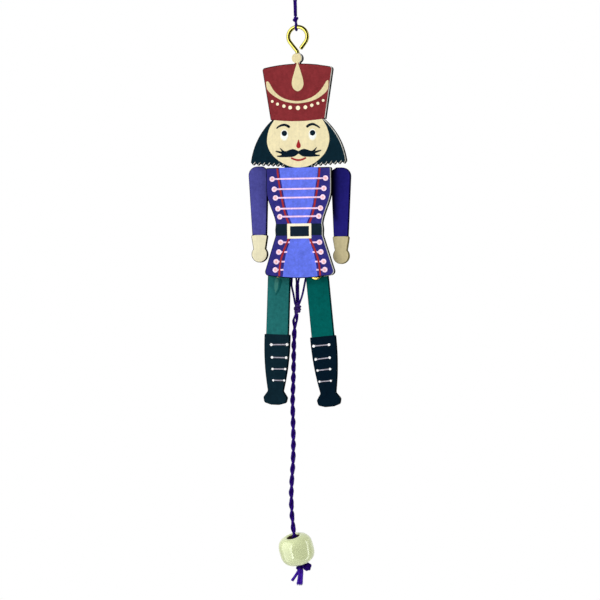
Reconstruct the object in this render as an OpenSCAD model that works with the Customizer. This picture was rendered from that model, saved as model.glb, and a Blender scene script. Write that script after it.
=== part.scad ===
// Pull string jumping jack: a plywood toy soldier whose arms and legs swing up when its cord is pulled.
// Lengths are in millimetres. X runs to the viewer's right, Y away from the viewer, Z up.
// The origin is the top of the loop that the toy hangs by, and Y = 0 is the middle of the front plate.

/* [Hanging cord and screw eye] */
// From the top of the hanging loop down to the top of the screw eye's wire
hang_drop = 21.25; // [18:0.25:60]
// Thickness of the hanging cord
hang_cord_d = 1; // [0.8:0.1:1.4]
// From the hanging loop's top down to its knot
hang_knot_drop = 17.3; // [14:0.1:17.5]
// Width of the knot that closes the hanging loop
hang_knot_width = 2.8; // [2.4:0.1:3.4]
// Thickness of the screw eye's wire
eye_wire_d = 2; // [1.6:0.1:2.4]
// Radius of the eye, to the middle of the wire
eye_radius = 4.85; // [4:0.05:7]
// From the eye's centre down to the elbow where its shank begins
eye_neck = 7.9; // [7.5:0.1:11]
// From the eye's centre down to the crown of the hat
eye_standoff = 13.65; // [12:0.05:18]
// How much of the screw goes into the hat below the crown
screw_depth = 9; // [6:0.5:14]

/* [Hat] */
// Height of the hat at the middle, from crown to brim
hat_height = 27.85; // [22:0.05:34]
// Width across the hat's top, at its sides' upper end
hat_top_width = 36.8; // [30:0.1:40]
// Width of the hat at the brim
hat_base_width = 28; // [24:0.1:29]
// Radius of the crown's arc
crown_radius = 80; // [50:1:140]
// Radius of the hat's top corners
hat_corner = 1.4; // [1:0.1:4]
// Radius of the pompom
pompom_radius = 2.6; // [2:0.05:3.2]
// Height of the pompom's centre above the crown
pompom_rise = 2.8; // [2.2:0.05:3.4]
// Width of the neck under the pompom
pompom_neck = 2.7; // [2.6:0.05:3.6]

/* [Head] */
// From the brim down to the top of the shoulders
head_height = 24.1; // [20:0.1:28]
// Radius of each side of the hair
hair_radius = 34.2; // [28:0.1:40]
// How far below the outer locks the arc of the hair's side has its centre
hair_arc_drop = 2.75; // [0:0.05:5]
// Width across the hair at the outer locks
hair_width = 49.2; // [42:0.1:52]
// Height of the hair's outer locks above the shoulders
hair_rise = 1.2; // [1:0.1:2]
// Number of cut locks on each side
hair_locks = 7; // [4:1:10]
// Depth of the cuts between the locks
lock_depth = 1.2; // [0.6:0.1:1.8]
// Gap between the shoulder and the lock next to the chin
lock_gap = 0.5; // [0.3:0.1:1.2]
// Width of the chin, where head and jacket join
chin_width = 14.4; // [11:0.1:18]

/* [Jacket and skirt] */
// From the shoulders down to the belt
jacket_height = 28.15; // [24:0.05:34]
// Width across the shoulders
shoulder_width = 33.2; // [30:0.1:37]
// From the shoulders down to where the jacket starts to narrow
chest_drop = 11.3; // [8:0.1:14]
// Width of the waist at the belt's top
waist_width = 23.8; // [20:0.1:27]
// Height of the belt
belt_height = 5.85; // [4:0.05:8]
// How far the belt's ends stand out from the waist
belt_bulge = 0.35; // [0.1:0.05:0.6]
// From the belt down to the lowest point of the hem
skirt_height = 21.35; // [18:0.05:26]
// Width of the skirt at its corners
skirt_width = 36.6; // [32:0.1:40]
// Radius of the hem's arc
hem_radius = 98; // [60:1:160]
// Radius of the hem's corners
hem_corner = 2; // [1:0.1:3]

/* [Plywood and pivots] */
// Thickness of the front plate
plate_thickness = 4; // [3.2:0.1:6]
// Thickness of the arms and legs
limb_thickness = 3; // [2:0.1:5]
// Thickness of the washers between the front plate and the limbs
washer_thickness = 1; // [0.6:0.1:1.6]
// Diameter of the washers
washer_d = 6.3; // [5:0.1:8]
// Diameter of the pivot pins
pin_d = 2; // [1.6:0.1:2.4]
// Diameter of the pivot pins' domed heads
pin_head_d = 4.4; // [3.6:0.1:5]
// Height of the pivot pins' domed heads
pin_head_height = 1; // [0.7:0.1:1.4]
// How deep the pivot pins go into the front plate
pin_grip = 3; // [2:0.1:3]
// Radial clearance of a limb on its pin
pivot_clearance = 0.06; // [0.03:0.01:0.1]
// Free play on each face of a limb
limb_play = 0.1; // [0.05:0.05:0.3]
// How much lower the limbs on the viewer's right are hung than those on the left
side_step = 1.3; // [0:0.1:2]

/* [Arms] */
// Distance between the two shoulder pivots
shoulder_span = 25; // [22:0.1:27]
// How far the middle of the two shoulder pivots lies to the left of the toy's middle
shoulder_shift = 0.75; // [0:0.05:1]
// From the top of the shoulders down to the shoulder pivots
shoulder_drop = 6.55; // [6:0.05:8]
// Height of the tab that joins the sleeve to its pivot
tab_height = 10.85; // [9:0.05:12]
// Height of the sleeve's top above its pivot
sleeve_rise = 7; // [6:0.1:8]
// Width of the sleeve at the shoulder
sleeve_width = 9.85; // [8:0.05:11]
// Width of the sleeve at the cuff
sleeve_end_width = 7.2; // [6:0.1:8]
// From the pivot out to the middle of the sleeve
sleeve_reach = 9; // [8.5:0.1:11]
// From the pivot down to the end of the sleeve
sleeve_drop = 27.5; // [22:0.1:32]
// Radius of the outer corner of the shoulder
sleeve_corner = 4.4; // [3:0.1:5]
// Width of the glove's cuff
cuff_width = 8.5; // [7.3:0.1:9]
// Width of the wrist
wrist_width = 6.2; // [5:0.1:7]
// Width of the closed hand
fist_width = 8.2; // [7:0.1:9]
// Length of the glove
glove_length = 13.8; // [12:0.1:16]

/* [Legs] */
// Distance between the two hip pivots
hip_span = 19.3; // [18:0.1:22]
// How far the middle of the two hip pivots lies to the left of the toy's middle
hip_shift = 2.05; // [0.5:0.05:3]
// Height of the hip pivots above the hem
hip_rise = 3; // [2:0.1:5]
// How far the left leg stands out at rest, in degrees
left_splay = 2.4; // [1:0.1:6]
// How far the right leg stands out at rest, in degrees
right_splay = 5; // [3:0.1:7]
// Width of the trouser leg
thigh_width = 11.35; // [9:0.05:13]
// From the hip pivot down to the top of the boot
boot_drop = 31.75; // [26:0.25:36]
// Width of the boot's top
boot_top_width = 13; // [11.6:0.1:14]
// Height of the ankle above the sole
foot_height = 6.95; // [5:0.05:10]
// Width of the ankle
ankle_width = 8; // [6:0.1:9]
// Width of the foot
foot_width = 11.6; // [9.5:0.1:13.5]
// From the hip pivot down to the sole
leg_length = 67.35; // [56:0.05:72]

/* [Pull mechanism] */
// How far the cord can be pulled down
pull_travel = 7.39; // [5:0.01:8]
// Distance from an arm's pivot to its string hole
arm_lever = 5.22; // [5:0.01:6.5]
// Distance from a leg's pivot to its string hole
leg_lever = 6; // [5.5:0.1:7]
// Diameter of the string holes
string_hole_d = 1.2; // [1:0.05:1.5]
// Wood left round a string hole
lever_wall = 1.4; // [1:0.1:2]
// Thickness of the strings that run to the limbs
lead_d = 0.84; // [0.6:0.02:1]
// Thickness of the twisted pull cord
pull_cord_d = 2.2; // [1.6:0.1:2.6]
// Width of the knot that gathers the four strings
gather_width = 4; // [3.8:0.1:5]
// Height of the knot that gathers the four strings
gather_height = 5.15; // [4:0.05:5.15]

/* [Bead] */
// Width of the bead
bead_width = 17.5; // [14:0.5:22]
// Height of the bead
bead_height = 15.2; // [12:0.1:18]
// Diameter of the bead's bore
bead_bore = 6; // [5.4:0.1:7]
// Radius of the bore's rounded mouths
bead_mouth = 1.2; // [0.6:0.1:1.6]
// Lean of the bead's top toward the viewer, in degrees
bead_nod = 18.5; // [12:0.5:24]
// Lean of the bead's top to the left, in degrees
bead_lean = 11; // [6:0.5:16]
// Width of the knot under the bead
end_knot_width = 7.6; // [6.6:0.1:9]
// Thickness of the knot under the bead
end_knot_d = 3.6; // [3:0.1:4.2]
// Thickness of the cord's loose ends
tail_d = 1.2; // [0.8:0.1:1.4]

/* [Hidden] */
$fn = 48;
fit = 0.02;            // radial glue gap of the parts that don't turn
seat_gap = 0.3;        // between a soft piece and what it rests on
bight_gap = 0.15;      // between the hanging cord and the wire that it goes round
overrun = 1;           // how far a cutter runs past the faces it opens
string_clearance = 0.05; // radial, of a string in its hole

// levels, from the hanging loop's top downward
eye_z = -hang_drop - eye_radius;
crown_z = eye_z - eye_standoff;
brim_z = crown_z - hat_height;
shoulder_z = brim_z - head_height;
waist_z = shoulder_z - jacket_height;
belt_end_z = waist_z - belt_height;
hem_z = belt_end_z - skirt_height;

// layers, from the front plate backward
plate_back = plate_thickness / 2;
washer_back = plate_back + washer_thickness;
limb_front = washer_back + limb_play;
limb_back = limb_front + limb_thickness;
head_front = limb_back + limb_play;

// pivots: the place of each limb's pin, in the plane of the plates
left_shoulder = [-shoulder_span / 2 - shoulder_shift, shoulder_z - shoulder_drop + side_step / 2];
right_shoulder = [shoulder_span / 2 - shoulder_shift, shoulder_z - shoulder_drop - side_step / 2];
left_hip = [-hip_span / 2 - hip_shift, hem_z + hip_rise + side_step / 2];
right_hip = [hip_span / 2 - hip_shift, hem_z + hip_rise - side_step / 2];
pivots = [left_shoulder, right_shoulder, left_hip, right_hip];

// levers: the string hole stands above the pivot's level at rest and as far below it when pulled
arm_lever_angle = asin(pull_travel / 2 / arm_lever);
leg_lever_angle = asin(pull_travel / 2 / leg_lever);
lobe_radius = string_hole_d / 2 + lever_wall;

// places of the strings behind the limbs
leg_knot_radius = 1;
leg_knot_length = 1.2;
arm_knot_radius = 1.1;
arm_knot_length = 2.6;
knot_waist_share = 0.7;

// routes of the strings, hand-chosen points from the limbs down to the gather knot
left_leg_route = [[-6.8, 6.7, -141.1], [-5.7, 6.7, -146], [-5.65, 6.7, -150.5], [-5.05, 6.7, -155],
    [-4.4, 6.7, -159.85]];
right_leg_route = [[2.7, 6.7, -142.4], [1.2, 6.7, -147.5], [0.5, 6.7, -150], [-1.05, 6.7, -155.5],
    [-2.6, 6.7, -159.85]];
left_arm_route = [[-9.45, 7.9, -95.4], [-6.9, 7.9, -120], [-4.1, 7.9, -147], [-3.85, 7.9, -151],
    [-3.95, 7.9, -159.85]];
right_arm_route = [[7.95, 7.9, -96.7], [3.1, 7.9, -122], [-2.2, 7.9, -147], [-2.9, 7.9, -151],
    [-3, 7.9, -159.85]];

// the gather knot, the pull cord below it, the bead on the cord and the cord's ends
gather_place = [-3.5, 7.3, -159.85];
pull_route = [[-3.6, 7.3, -165], [-4.4, 7.3, -168.5], [-4.7, 7.3, -173], [-5.1, 7.3, -181],
    [-5.5, 7.3, -191], [-5.9, 7.3, -201], [-6.1, 7.3, -209], [-5.9, 7.3, -218], [-5.9, 7.3, -228],
    [-6.5, 7.3, -239], [-7.1, 7.3, -248], [-7.4, 7.3, -256], [-7, 7.2, -265], [-6.4, 6.9, -272],
    [-6, 7, -277], [-5.1, 9, -283.5]];
bead_place = [-5.4, 8.7, -283.5];
tail_routes = [[[-5.1, 11.8, -295.1], [-6.5, 11.8, -297.1], [-8.2, 11.8, -299.1]],
    [[-3.8, 12, -295], [-4.4, 11.9, -298.2], [-5.1, 11.8, -301.6]],
    [[-2.3, 12.1, -294.7], [-2.8, 12, -298.1], [-3.4, 11.8, -301.4]]];

// the hanging loop, from its knot up one side and down the other, and the bight under the eye's wire
loop_route = [[-1.62, 0, -11], [-1.75, 0, -8], [-1.85, 0, -5.4], [-1.75, 0, -3], [-1.2, 0, -1.2],
    [0, 0, -0.5], [1.1, 0, -1.2], [1.4, 0, -3], [0.6, 0, -5.4], [-0.62, 0, -8], [-0.55, 0, -11]];
bight_rings = 10;
hang_x = -0.7;         // of the bight on the eye's wire
knot_x = -1;           // of the knot above it

// curves

function mix(a, b, t) = a + (b - a) * t;

function arc_points(centre, radius, from, to, steps) =
    [for (i = [0 : steps]) let (a = mix(from, to, i / steps)) centre + radius * [cos(a), sin(a)]];

function bezier(p, q, r, s, steps) =
    [for (i = [0 : steps]) let (t = i / steps, u = 1 - t)
        u * u * u * p + 3 * u * u * t * q + 3 * u * t * t * r + t * t * t * s];

function mirrored(points) = [for (i = [len(points) - 1 : -1 : 0]) [-points[i][0], points[i][1]]];

function unit(v) = v / norm(v);

// a corner of an outline, rounded to a radius between its two neighbours
function rounded(before, corner, after, radius, steps = 8) =
    let (u = unit(before - corner), v = unit(after - corner),
        half = acos(u * v) / 2,
        centre = corner + unit(u + v) * radius / sin(half),
        start = corner + u * radius / tan(half) - centre,
        end = corner + v * radius / tan(half) - centre,
        a = atan2(start[1], start[0]),
        turn = atan2(end[1], end[0]) - a,
        sweep = turn > 180 ? turn - 360 : turn < -180 ? turn + 360 : turn)
    arc_points(centre, radius, a, a + sweep, steps);

// points of a smooth curve through a route
function smooth(route, steps) =
    let (last = len(route) - 1)
    [for (i = [0 : last - 1], k = [0 : steps - 1])
        let (a = route[max(i - 1, 0)], b = route[i], c = route[i + 1], d = route[min(i + 2, last)],
            t = k / steps)
        (2 * b + (c - a) * t + (2 * a - 5 * b + 4 * c - d) * t * t
            + (3 * b - a - 3 * c + d) * t * t * t) / 2,
        route[last]];

// direction of a route at one of its points; first and last, where given, are those of its two ends
function heading(points, i, first, last) =
    i == 0 && first != undef ? first
    : i == len(points) - 1 && last != undef ? last
    : unit(points[min(i + 1, len(points) - 1)] - points[max(i - 1, 0)]);

// a round tube along a route, closed by flat ends; side is a direction that the route never takes
module tube(points, diameter, side, sides = 8, first = undef, last = undef) {
    count = len(points);
    rings = [for (i = [0 : count - 1])
        let (along = heading(points, i, first, last), u = unit(cross(along, side)), v = cross(along, u))
        for (k = [0 : sides - 1])
            let (a = (k + 1 / 2) * 360 / sides)
            points[i] + diameter / 2 * (cos(a) * u + sin(a) * v)];
    walls = [for (i = [0 : count - 2], k = [0 : sides - 1])
        let (a = i * sides + k, b = i * sides + (k + 1) % sides)
        each [[a, b + sides, b], [a, a + sides, b + sides]]];
    ends = [[for (k = [0 : sides - 1]) k],
        [for (k = [sides - 1 : -1 : 0]) (count - 1) * sides + k]];
    polyhedron(points = rings, faces = concat(walls, ends));
}

// turns a drawing in the plane of the plates into a plate whose front lies at front
module board(front, thickness) {
    translate([0, front + thickness, 0]) rotate([90, 0, 0]) linear_extrude(height = thickness) children();
}

// a drilled hole or a pin through the plates, from front to back
module across(place, radius, front, back) {
    translate([place[0], back, place[1]]) rotate([90, 0, 0]) cylinder(r = radius, h = back - front);
}

// front plate

// right side of the pompom, from its top down to its neck
function pompom_side() =
    let (under = acos(pompom_neck / 2 / pompom_radius))
    arc_points([0, crown_z + pompom_rise], pompom_radius, 90, -under, 12);

// right side of the hat, from the pompom's neck to the brim
function hat_side() =
    let (rise = atan((hat_top_width - hat_base_width) / 2 / hat_height),
        brim = [hat_base_width / 2, brim_z],
        along = [sin(rise), cos(rise)],
        out = [cos(rise), -sin(rise)],
        crown_centre = [0, crown_z - crown_radius],
        // the corner's centre lies on the inner parallel of the side, and touches the crown's arc
        p = brim - hat_corner * out - crown_centre,
        b = p * along,
        run = -b + sqrt(b * b - p * p + pow(crown_radius - hat_corner, 2)),
        corner = crown_centre + p + run * along,
        up = atan2(corner[1] - crown_centre[1], corner[0] - crown_centre[0]))
    concat(arc_points(crown_centre, crown_radius, acos(pompom_neck / 2 / crown_radius), up, 8),
        arc_points(corner, hat_corner, up, -rise, 8), [brim]);

// right side of the hair: an arc, then a lower edge that is cut into pointed locks
function hair_side() =
    let (widest = shoulder_z + hair_rise,
        centre = [hair_width / 2 - sqrt(pow(hair_radius, 2) - pow(hair_arc_drop, 2)), widest - hair_arc_drop],
        chin = chin_width / 2,
        pitch = (hair_width / 2 - chin) / hair_locks,
        outer_tip = shoulder_z + lock_gap + hair_rise,
        last = asin((outer_tip + lock_depth - centre[1]) / hair_radius))
    concat(
        arc_points(centre, hair_radius, asin((brim_z - centre[1]) / hair_radius), last, 20),
        [for (i = [hair_locks - 1 : -1 : 0])
            let (tip = mix(shoulder_z + lock_gap, outer_tip, i / hair_locks))
            each [[chin + (i + 1 / 2) * pitch, tip], [chin + i * pitch, tip + lock_depth]]],
        [[chin, shoulder_z]]);

// right side of the jacket, belt and skirt, from the shoulder down to the middle of the hem
function jacket_side() =
    let (shoulder = shoulder_width / 2,
        waist = waist_width / 2,
        skirt = skirt_width / 2,
        belt = waist + belt_bulge,
        belt_end = [waist + belt_bulge / 2, belt_end_z],
        hem_centre = [0, hem_z + hem_radius],
        corner_angle = -acos(skirt / hem_radius),
        inner_angle = -acos((skirt - 2 * hem_corner) / hem_radius),
        hem_end = hem_centre + hem_radius * [cos(corner_angle), sin(corner_angle)],
        hem_inner = hem_centre + hem_radius * [cos(inner_angle), sin(inner_angle)],
        chest = [shoulder, shoulder_z - chest_drop],
        narrowing = jacket_height - chest_drop)
    concat(
        rounded([0, shoulder_z], [shoulder, shoulder_z], chest, belt_height / 8, 4),
        bezier(chest, chest - [0, narrowing * 0.32], [belt, waist_z + narrowing * 0.29],
            [waist, waist_z], 12),
        [[belt, waist_z - belt_height / 2]],
        [belt_end],
        rounded(belt_end, hem_end, hem_inner, hem_corner),
        arc_points(hem_centre, hem_radius, inner_angle, -90, 8));

module front_plate() {
    color("firebrick") difference() {
        board(-plate_thickness / 2, plate_thickness) {
            side = concat(pompom_side(), hat_side(), hair_side(), jacket_side());
            polygon(concat(side, mirrored([for (i = [1 : len(side) - 2]) side[i]])));
        }
        for (place = pivots)
            across(place, pin_d / 2 + fit, plate_back - pin_grip, plate_back + overrun);
        // pilot hole for the screw eye, widened for its plain shank in the pompom
        translate([0, 0, crown_z - screw_depth])
            cylinder(r = screw_d / 2 + fit, h = screw_depth + pompom_rise + overrun);
        translate([0, 0, shank_end])
            cylinder(r = eye_wire_d / 2 + fit, h = pompom_radius + overrun);
    }
}

// pivots

module pivot_washers() {
    color("goldenrod") for (place = pivots) difference() {
        across(place, washer_d / 2, plate_back, washer_back);
        across(place, pin_d / 2 + fit, plate_back - overrun, washer_back + overrun);
    }
}

// a blind pin from behind: shank glued into the front plate, domed head behind the limb
module pivot_pins() {
    dome_radius = (pow(pin_head_d / 2, 2) + pow(pin_head_height, 2)) / 2 / pin_head_height;
    color("gold") for (place = pivots) {
        across(place, pin_d / 2, plate_back - pin_grip, head_front + pin_head_height / 4);
        intersection() {
            across(place, pin_head_d / 2, head_front, head_front + pin_head_height);
            translate([place[0], head_front + pin_head_height - dome_radius, place[1]])
                sphere(r = dome_radius);
        }
    }
}

// screw eye: a bent wire that ends in a screw

screw_d = eye_wire_d * 0.85;
eye_slope = asin(eye_radius / eye_neck);
eye_branch = sqrt(eye_neck * eye_neck - eye_radius * eye_radius);
eye_elbow_z = eye_z - eye_neck;
screw_tip = screw_d;
shank_end = crown_z + pompom_rise; // the plain shank ends in the middle of the pompom

module screw_eye() {
    free_share = 0.62;
    elbow = [0, eye_elbow_z];
    branch = eye_branch * [sin(eye_slope), cos(eye_slope)];
    left_end = elbow + [-branch[0], branch[1]];
    // from the free end up the right branch, round the eye, and down the left branch to the shank
    wire = concat([elbow + branch * (1 - free_share), elbow + branch * 0.85],
        arc_points([0, eye_z], eye_radius, -eye_slope, 180 + eye_slope, 28),
        rounded(left_end, elbow, [0, shank_end], eye_wire_d * 0.7, 3),
        [[0, shank_end]]);
    color("gold") {
        tube([for (p = wire) [p[0], 0, p[1]]], eye_wire_d, [0, 1, 0], 12);
        // the screw meets the shank's end face and tapers to a point
        screw_foot = crown_z - screw_depth + fit;
        rotate_extrude() polygon([[0, screw_foot], [screw_d / 2, screw_foot + screw_tip],
            [screw_d / 2, shank_end], [0, shank_end]]);
    }
}

// hanging cord

bight_radius = eye_wire_d / 2 + hang_cord_d / 2 + bight_gap;
hang_knot_height = hang_knot_width * 0.95;
hang_knot_foot = -hang_knot_drop - hang_knot_height / 2;
hang_knot_top = -hang_knot_drop + hang_knot_height / 2;

module hanging_cord() {
    // up from the knot, round the top of the loop and down again
    loop = concat([[knot_x - hang_cord_d * 0.54, 0, hang_knot_top]], loop_route,
        [[knot_x + hang_cord_d * 0.54, 0, hang_knot_top]]);
    color("indigo") tube(loop, hang_cord_d, [0, 1, 0], first = [0, 0, 1], last = [0, 0, -1]);
    // from the knot down round the eye's wire and up again
    under = [for (i = [0 : bight_rings]) let (a = 180 + 180 * i / bight_rings)
        [hang_x, bight_radius * cos(a), -hang_drop + bight_radius * sin(a)]];
    color("indigo") tube(concat([[knot_x, -hang_cord_d * 0.55, hang_knot_foot],
        [hang_x, -hang_cord_d * 0.9, mix(hang_knot_foot, -hang_drop, 1 / 2)]], under,
        [[hang_x, hang_cord_d * 0.9, mix(hang_knot_foot, -hang_drop, 1 / 2)],
        [knot_x, hang_cord_d * 0.55, hang_knot_foot]]), hang_cord_d, [1, 0, 0],
        first = [0, 0, -1], last = [0, 0, 1]);
}

// a knot as a barrel of turns, standing on its foot
module barrel_knot(radius, height, turns, waist_share) {
    steps = 5;
    bulges = [for (i = [0 : turns - 1], k = [0 : steps])
        let (a = mix(-90, 90, k / steps))
        [radius * mix(waist_share, 1, cos(a)), height * (i + (1 + sin(a)) / 2) / turns]];
    clean = [for (i = [0 : len(bulges) - 1]) if (i == 0 || norm(bulges[i] - bulges[i - 1]) > fit) bulges[i]];
    rotate_extrude() polygon(concat([[0, 0]], clean, [[0, height]]));
}

module hanging_knot() {
    color("indigo") translate([knot_x, 0, hang_knot_foot])
        barrel_knot(hang_knot_width / 2, hang_knot_height, 2, 0.8);
}

// limbs

// the lobe for a limb's string hole: its outline from one tangent of the head to the other
function lobe_points(head_radius, lever, angle, lean) =
    arc_points(lever * [cos(angle), sin(angle)], lobe_radius, angle - lean, angle + lean, 10);

function lobe_lean(head_radius, lever) = acos((head_radius - lobe_radius) / lever);

// an arm whose hand hangs to the right of its pivot, drawn from the hand's lowest point up its outer side
function arm_points() =
    let (outer = sleeve_reach + sleeve_width / 2,
        inner = sleeve_reach - sleeve_width / 2,
        end_outer = sleeve_reach - sleeve_end_width * 0.075 + sleeve_end_width / 2,
        end_inner = end_outer - sleeve_end_width,
        middle = (end_outer + end_inner) / 2,
        half_tab = tab_height / 2,
        fist = fist_width / 2,
        fist_place = [middle, -sleeve_drop - glove_length + fist],
        wrist = acos(wrist_width / fist_width),
        wrist_out = fist_place + fist * [cos(wrist), sin(wrist)],
        wrist_in = fist_place + fist * [-cos(wrist), sin(wrist)],
        cuff_corner = cuff_width / 12,
        slope_end = [inner, half_tab],
        angle = 180 - arm_lever_angle,
        lean = lobe_lean(half_tab, arm_lever),
        crotch = [inner, -half_tab])
    concat(
        arc_points(fist_place, fist, -90, wrist, 10),
        rounded(wrist_out, [middle + cuff_width / 2, -sleeve_drop], [middle, -sleeve_drop], cuff_corner, 4),
        [[end_outer, -sleeve_drop]],
        rounded([end_outer, -sleeve_drop], [outer, sleeve_rise], [inner, sleeve_rise], sleeve_corner),
        rounded([outer, sleeve_rise], [inner + sleeve_width / 4, sleeve_rise], slope_end, cuff_corner, 4),
        rounded([inner + sleeve_width / 4, sleeve_rise], slope_end, [0, half_tab], cuff_corner, 4),
        lobe_points(half_tab, arm_lever, angle, lean),
        arc_points([0, 0], half_tab, angle + lean, 270, 6),
        rounded([0, -half_tab], crotch, [end_inner, -sleeve_drop], cuff_corner, 4),
        [[end_inner, -sleeve_drop]],
        rounded([middle, -sleeve_drop], [middle - cuff_width / 2, -sleeve_drop], wrist_in, cuff_corner, 4),
        arc_points(fist_place, fist, 180 - wrist, 270, 10));

module arm(outward, place) {
    translate([place[0], 0, place[1]]) difference() {
        board(limb_front, limb_thickness) polygon([for (p = arm_points()) [outward * p[0], p[1]]]);
        across([0, 0], pin_d / 2 + pivot_clearance, limb_front - overrun, limb_back + overrun);
        across(arm_lever * [-outward * cos(arm_lever_angle), sin(arm_lever_angle)], string_hole_d / 2,
            limb_front - overrun, limb_back + overrun);
    }
}

module left_arm() { color("slateblue") arm(-1, left_shoulder); }
module right_arm() { color("slateblue") arm(1, right_shoulder); }

// one side of a leg that hangs straight down from its pivot, from the trouser leg's top to the sole
function leg_side() =
    let (thigh = thigh_width / 2,
        boot = boot_top_width / 2,
        ankle = ankle_width / 2,
        foot = foot_width / 2,
        ankle_drop = leg_length - foot_height,
        shaft = ankle_drop - boot_drop,
        sole = foot_height)
    concat(
        [[thigh, 0], [thigh, -boot_drop]],
        rounded([thigh, -boot_drop], [boot, -boot_drop], [boot, -boot_drop - shaft], (boot - thigh) / 2, 3),
        bezier([boot, -boot_drop - shaft * 0.06], [boot, -boot_drop - shaft * 0.48],
            [mix(ankle, boot, 0.5), -boot_drop - shaft * 0.74], [ankle, -ankle_drop + sole * 0.1], 10),
        [[ankle, -ankle_drop]],
        rounded([ankle, -ankle_drop], [foot * 1.06, -ankle_drop - sole * 0.44],
            [foot * 0.95, -leg_length + sole * 0.16], sole * 0.2, 5),
        rounded([foot * 1.06, -ankle_drop - sole * 0.44], [foot * 0.95, -leg_length + sole * 0.16],
            [0, -leg_length], sole * 0.2, 5),
        [[foot * 0.35, -leg_length + sole * 0.02]]);

// the same leg whole, with the head round its pivot and the lobe to the left
function leg_points(splay) =
    let (head = thigh_width / 2,
        angle = 180 - leg_lever_angle - splay,
        lean = lobe_lean(head, leg_lever),
        last = angle + lean,
        side = leg_side())
    concat(
        [for (i = [len(side) - 1 : -1 : 1]) side[i]],
        arc_points([0, 0], head, 0, angle - lean, 6),
        lobe_points(head, leg_lever, angle, lean),
        last < 180 ? arc_points([0, 0], head, last, 180, 3)
            : [[-head, head * (1 + cos(last)) / sin(last)]],
        [for (i = [1 : len(side) - 1]) [-side[i][0], side[i][1]]]);

module leg(outward, place, splay) {
    translate([place[0], 0, place[1]]) difference() {
        board(limb_front, limb_thickness) rotate(outward * splay)
            polygon([for (p = leg_points(splay)) [outward * p[0], p[1]]]);
        across([0, 0], pin_d / 2 + pivot_clearance, limb_front - overrun, limb_back + overrun);
        across(leg_lever * [-outward * cos(leg_lever_angle), sin(leg_lever_angle)], string_hole_d / 2,
            limb_front - overrun, limb_back + overrun);
    }
}

module left_leg() { color("teal") leg(-1, left_hip, left_splay); }
module right_leg() { color("teal") leg(1, right_hip, right_splay); }

// a string's end in a limb: through the hole and knotted behind it
module string_knot(outward, place, lever, angle, radius, length) {
    hole = place + lever * [-outward * cos(angle), sin(angle)];
    color("indigo") {
        across(hole, string_hole_d / 2 - string_clearance, limb_front + limb_play, limb_back + length / 4);
        translate([hole[0], limb_back, hole[1]]) rotate([-90, 0, 0])
            barrel_knot(radius, length, length > radius * 2 ? 2 : 1, knot_waist_share);
    }
}

module left_arm_knot()
    string_knot(-1, left_shoulder, arm_lever, arm_lever_angle, arm_knot_radius, arm_knot_length);
module right_arm_knot()
    string_knot(1, right_shoulder, arm_lever, arm_lever_angle, arm_knot_radius, arm_knot_length);
module left_leg_knot()
    string_knot(-1, left_hip, leg_lever, leg_lever_angle, leg_knot_radius, leg_knot_length);
module right_leg_knot()
    string_knot(1, right_hip, leg_lever, leg_lever_angle, leg_knot_radius, leg_knot_length);

// strings and pull cord

// a string ends flat on the gather knot
module string(route) {
    tube(smooth(route, 1), lead_d, [0, 1, 0], last = [0, 0, -1]);
}

module left_arm_string() { color("indigo") string(left_arm_route); }
module right_arm_string() { color("indigo") string(right_arm_route); }
module left_leg_string() { color("indigo") string(left_leg_route); }
module right_leg_string() { color("indigo") string(right_leg_route); }

module gather_knot() {
    color("indigo") translate(gather_place) mirror([0, 0, 1])
        barrel_knot(gather_width / 2, gather_height, 3, 0.8);
}

// carries a piece into the bead's own frame, whose Z axis is the bore
module on_bead() {
    translate(bead_place) rotate([bead_nod, -bead_lean, 0]) children();
}

end_knot_top = -bead_height / 2 - seat_gap;
cord_end = end_knot_top + seat_gap;

module pull_cord() {
    // the last stretch follows the bore down to the end knot
    bore_up = [-cos(bead_nod) * sin(bead_lean), -sin(bead_nod), cos(bead_nod) * cos(bead_lean)];
    route = concat(smooth(pull_route, 1), [bead_place + bore_up * (cord_end + pull_cord_d / 4),
        bead_place + bore_up * cord_end]);
    color("indigo") tube(route, pull_cord_d, [0, 1, 0], first = [0, 0, -1], last = -bore_up);
}

// bead: a barrel between a cylinder and a ball, with rounded mouths
module bead() {
    squareness = 3;
    bore = bead_bore / 2;
    rim = bore + bead_mouth;
    function half_height(x) =
        bead_height / 2 * pow(1 - pow(x / (bead_width / 2), squareness), 1 / squareness);
    rim_z = half_height(rim);
    first = acos(pow(rim / (bead_width / 2), squareness / 2));
    side = [for (i = [0 : 20]) let (a = mix(first, -first, i / 20))
        [bead_width / 2 * pow(cos(a), 2 / squareness),
            sign(a) * bead_height / 2 * pow(abs(sin(a)), 2 / squareness)]];
    mouth = arc_points([rim, rim_z - bead_mouth], bead_mouth, 180, 90, 5);
    foot = [for (i = [len(mouth) - 1 : -1 : 0]) [mouth[i][0], -mouth[i][1]]];
    inner_side = [for (i = [1 : len(side) - 2]) side[i]];
    color("khaki") on_bead() rotate_extrude() polygon(concat(mouth, inner_side, foot));
}

// end knot: lies across the bead's lower mouth, with a short neck up to the cord
module end_knot() {
    color("indigo") on_bead() {
        translate([-end_knot_width * 0.4, 0, end_knot_top - end_knot_d / 2]) rotate([0, 90, 0])
            barrel_knot(end_knot_d / 2, end_knot_width, 3, 0.8);
        translate([0, 0, end_knot_top - end_knot_d / 4])
            cylinder(r = pull_cord_d / 2, h = end_knot_d / 4 + seat_gap);
    }
}

module cord_ends() {
    color("indigo") for (route = tail_routes)
        tube(smooth(route, 1), tail_d, [0, 1, 0], first = [0, 0, -1]);
}

front_plate();
pivot_washers();
pivot_pins();
screw_eye();
hanging_cord();
hanging_knot();
left_arm();
right_arm();
left_leg();
right_leg();
left_arm_knot();
right_arm_knot();
left_leg_knot();
right_leg_knot();
left_arm_string();
right_arm_string();
left_leg_string();
right_leg_string();
gather_knot();
pull_cord();
bead();
end_knot();
cord_ends();
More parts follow.
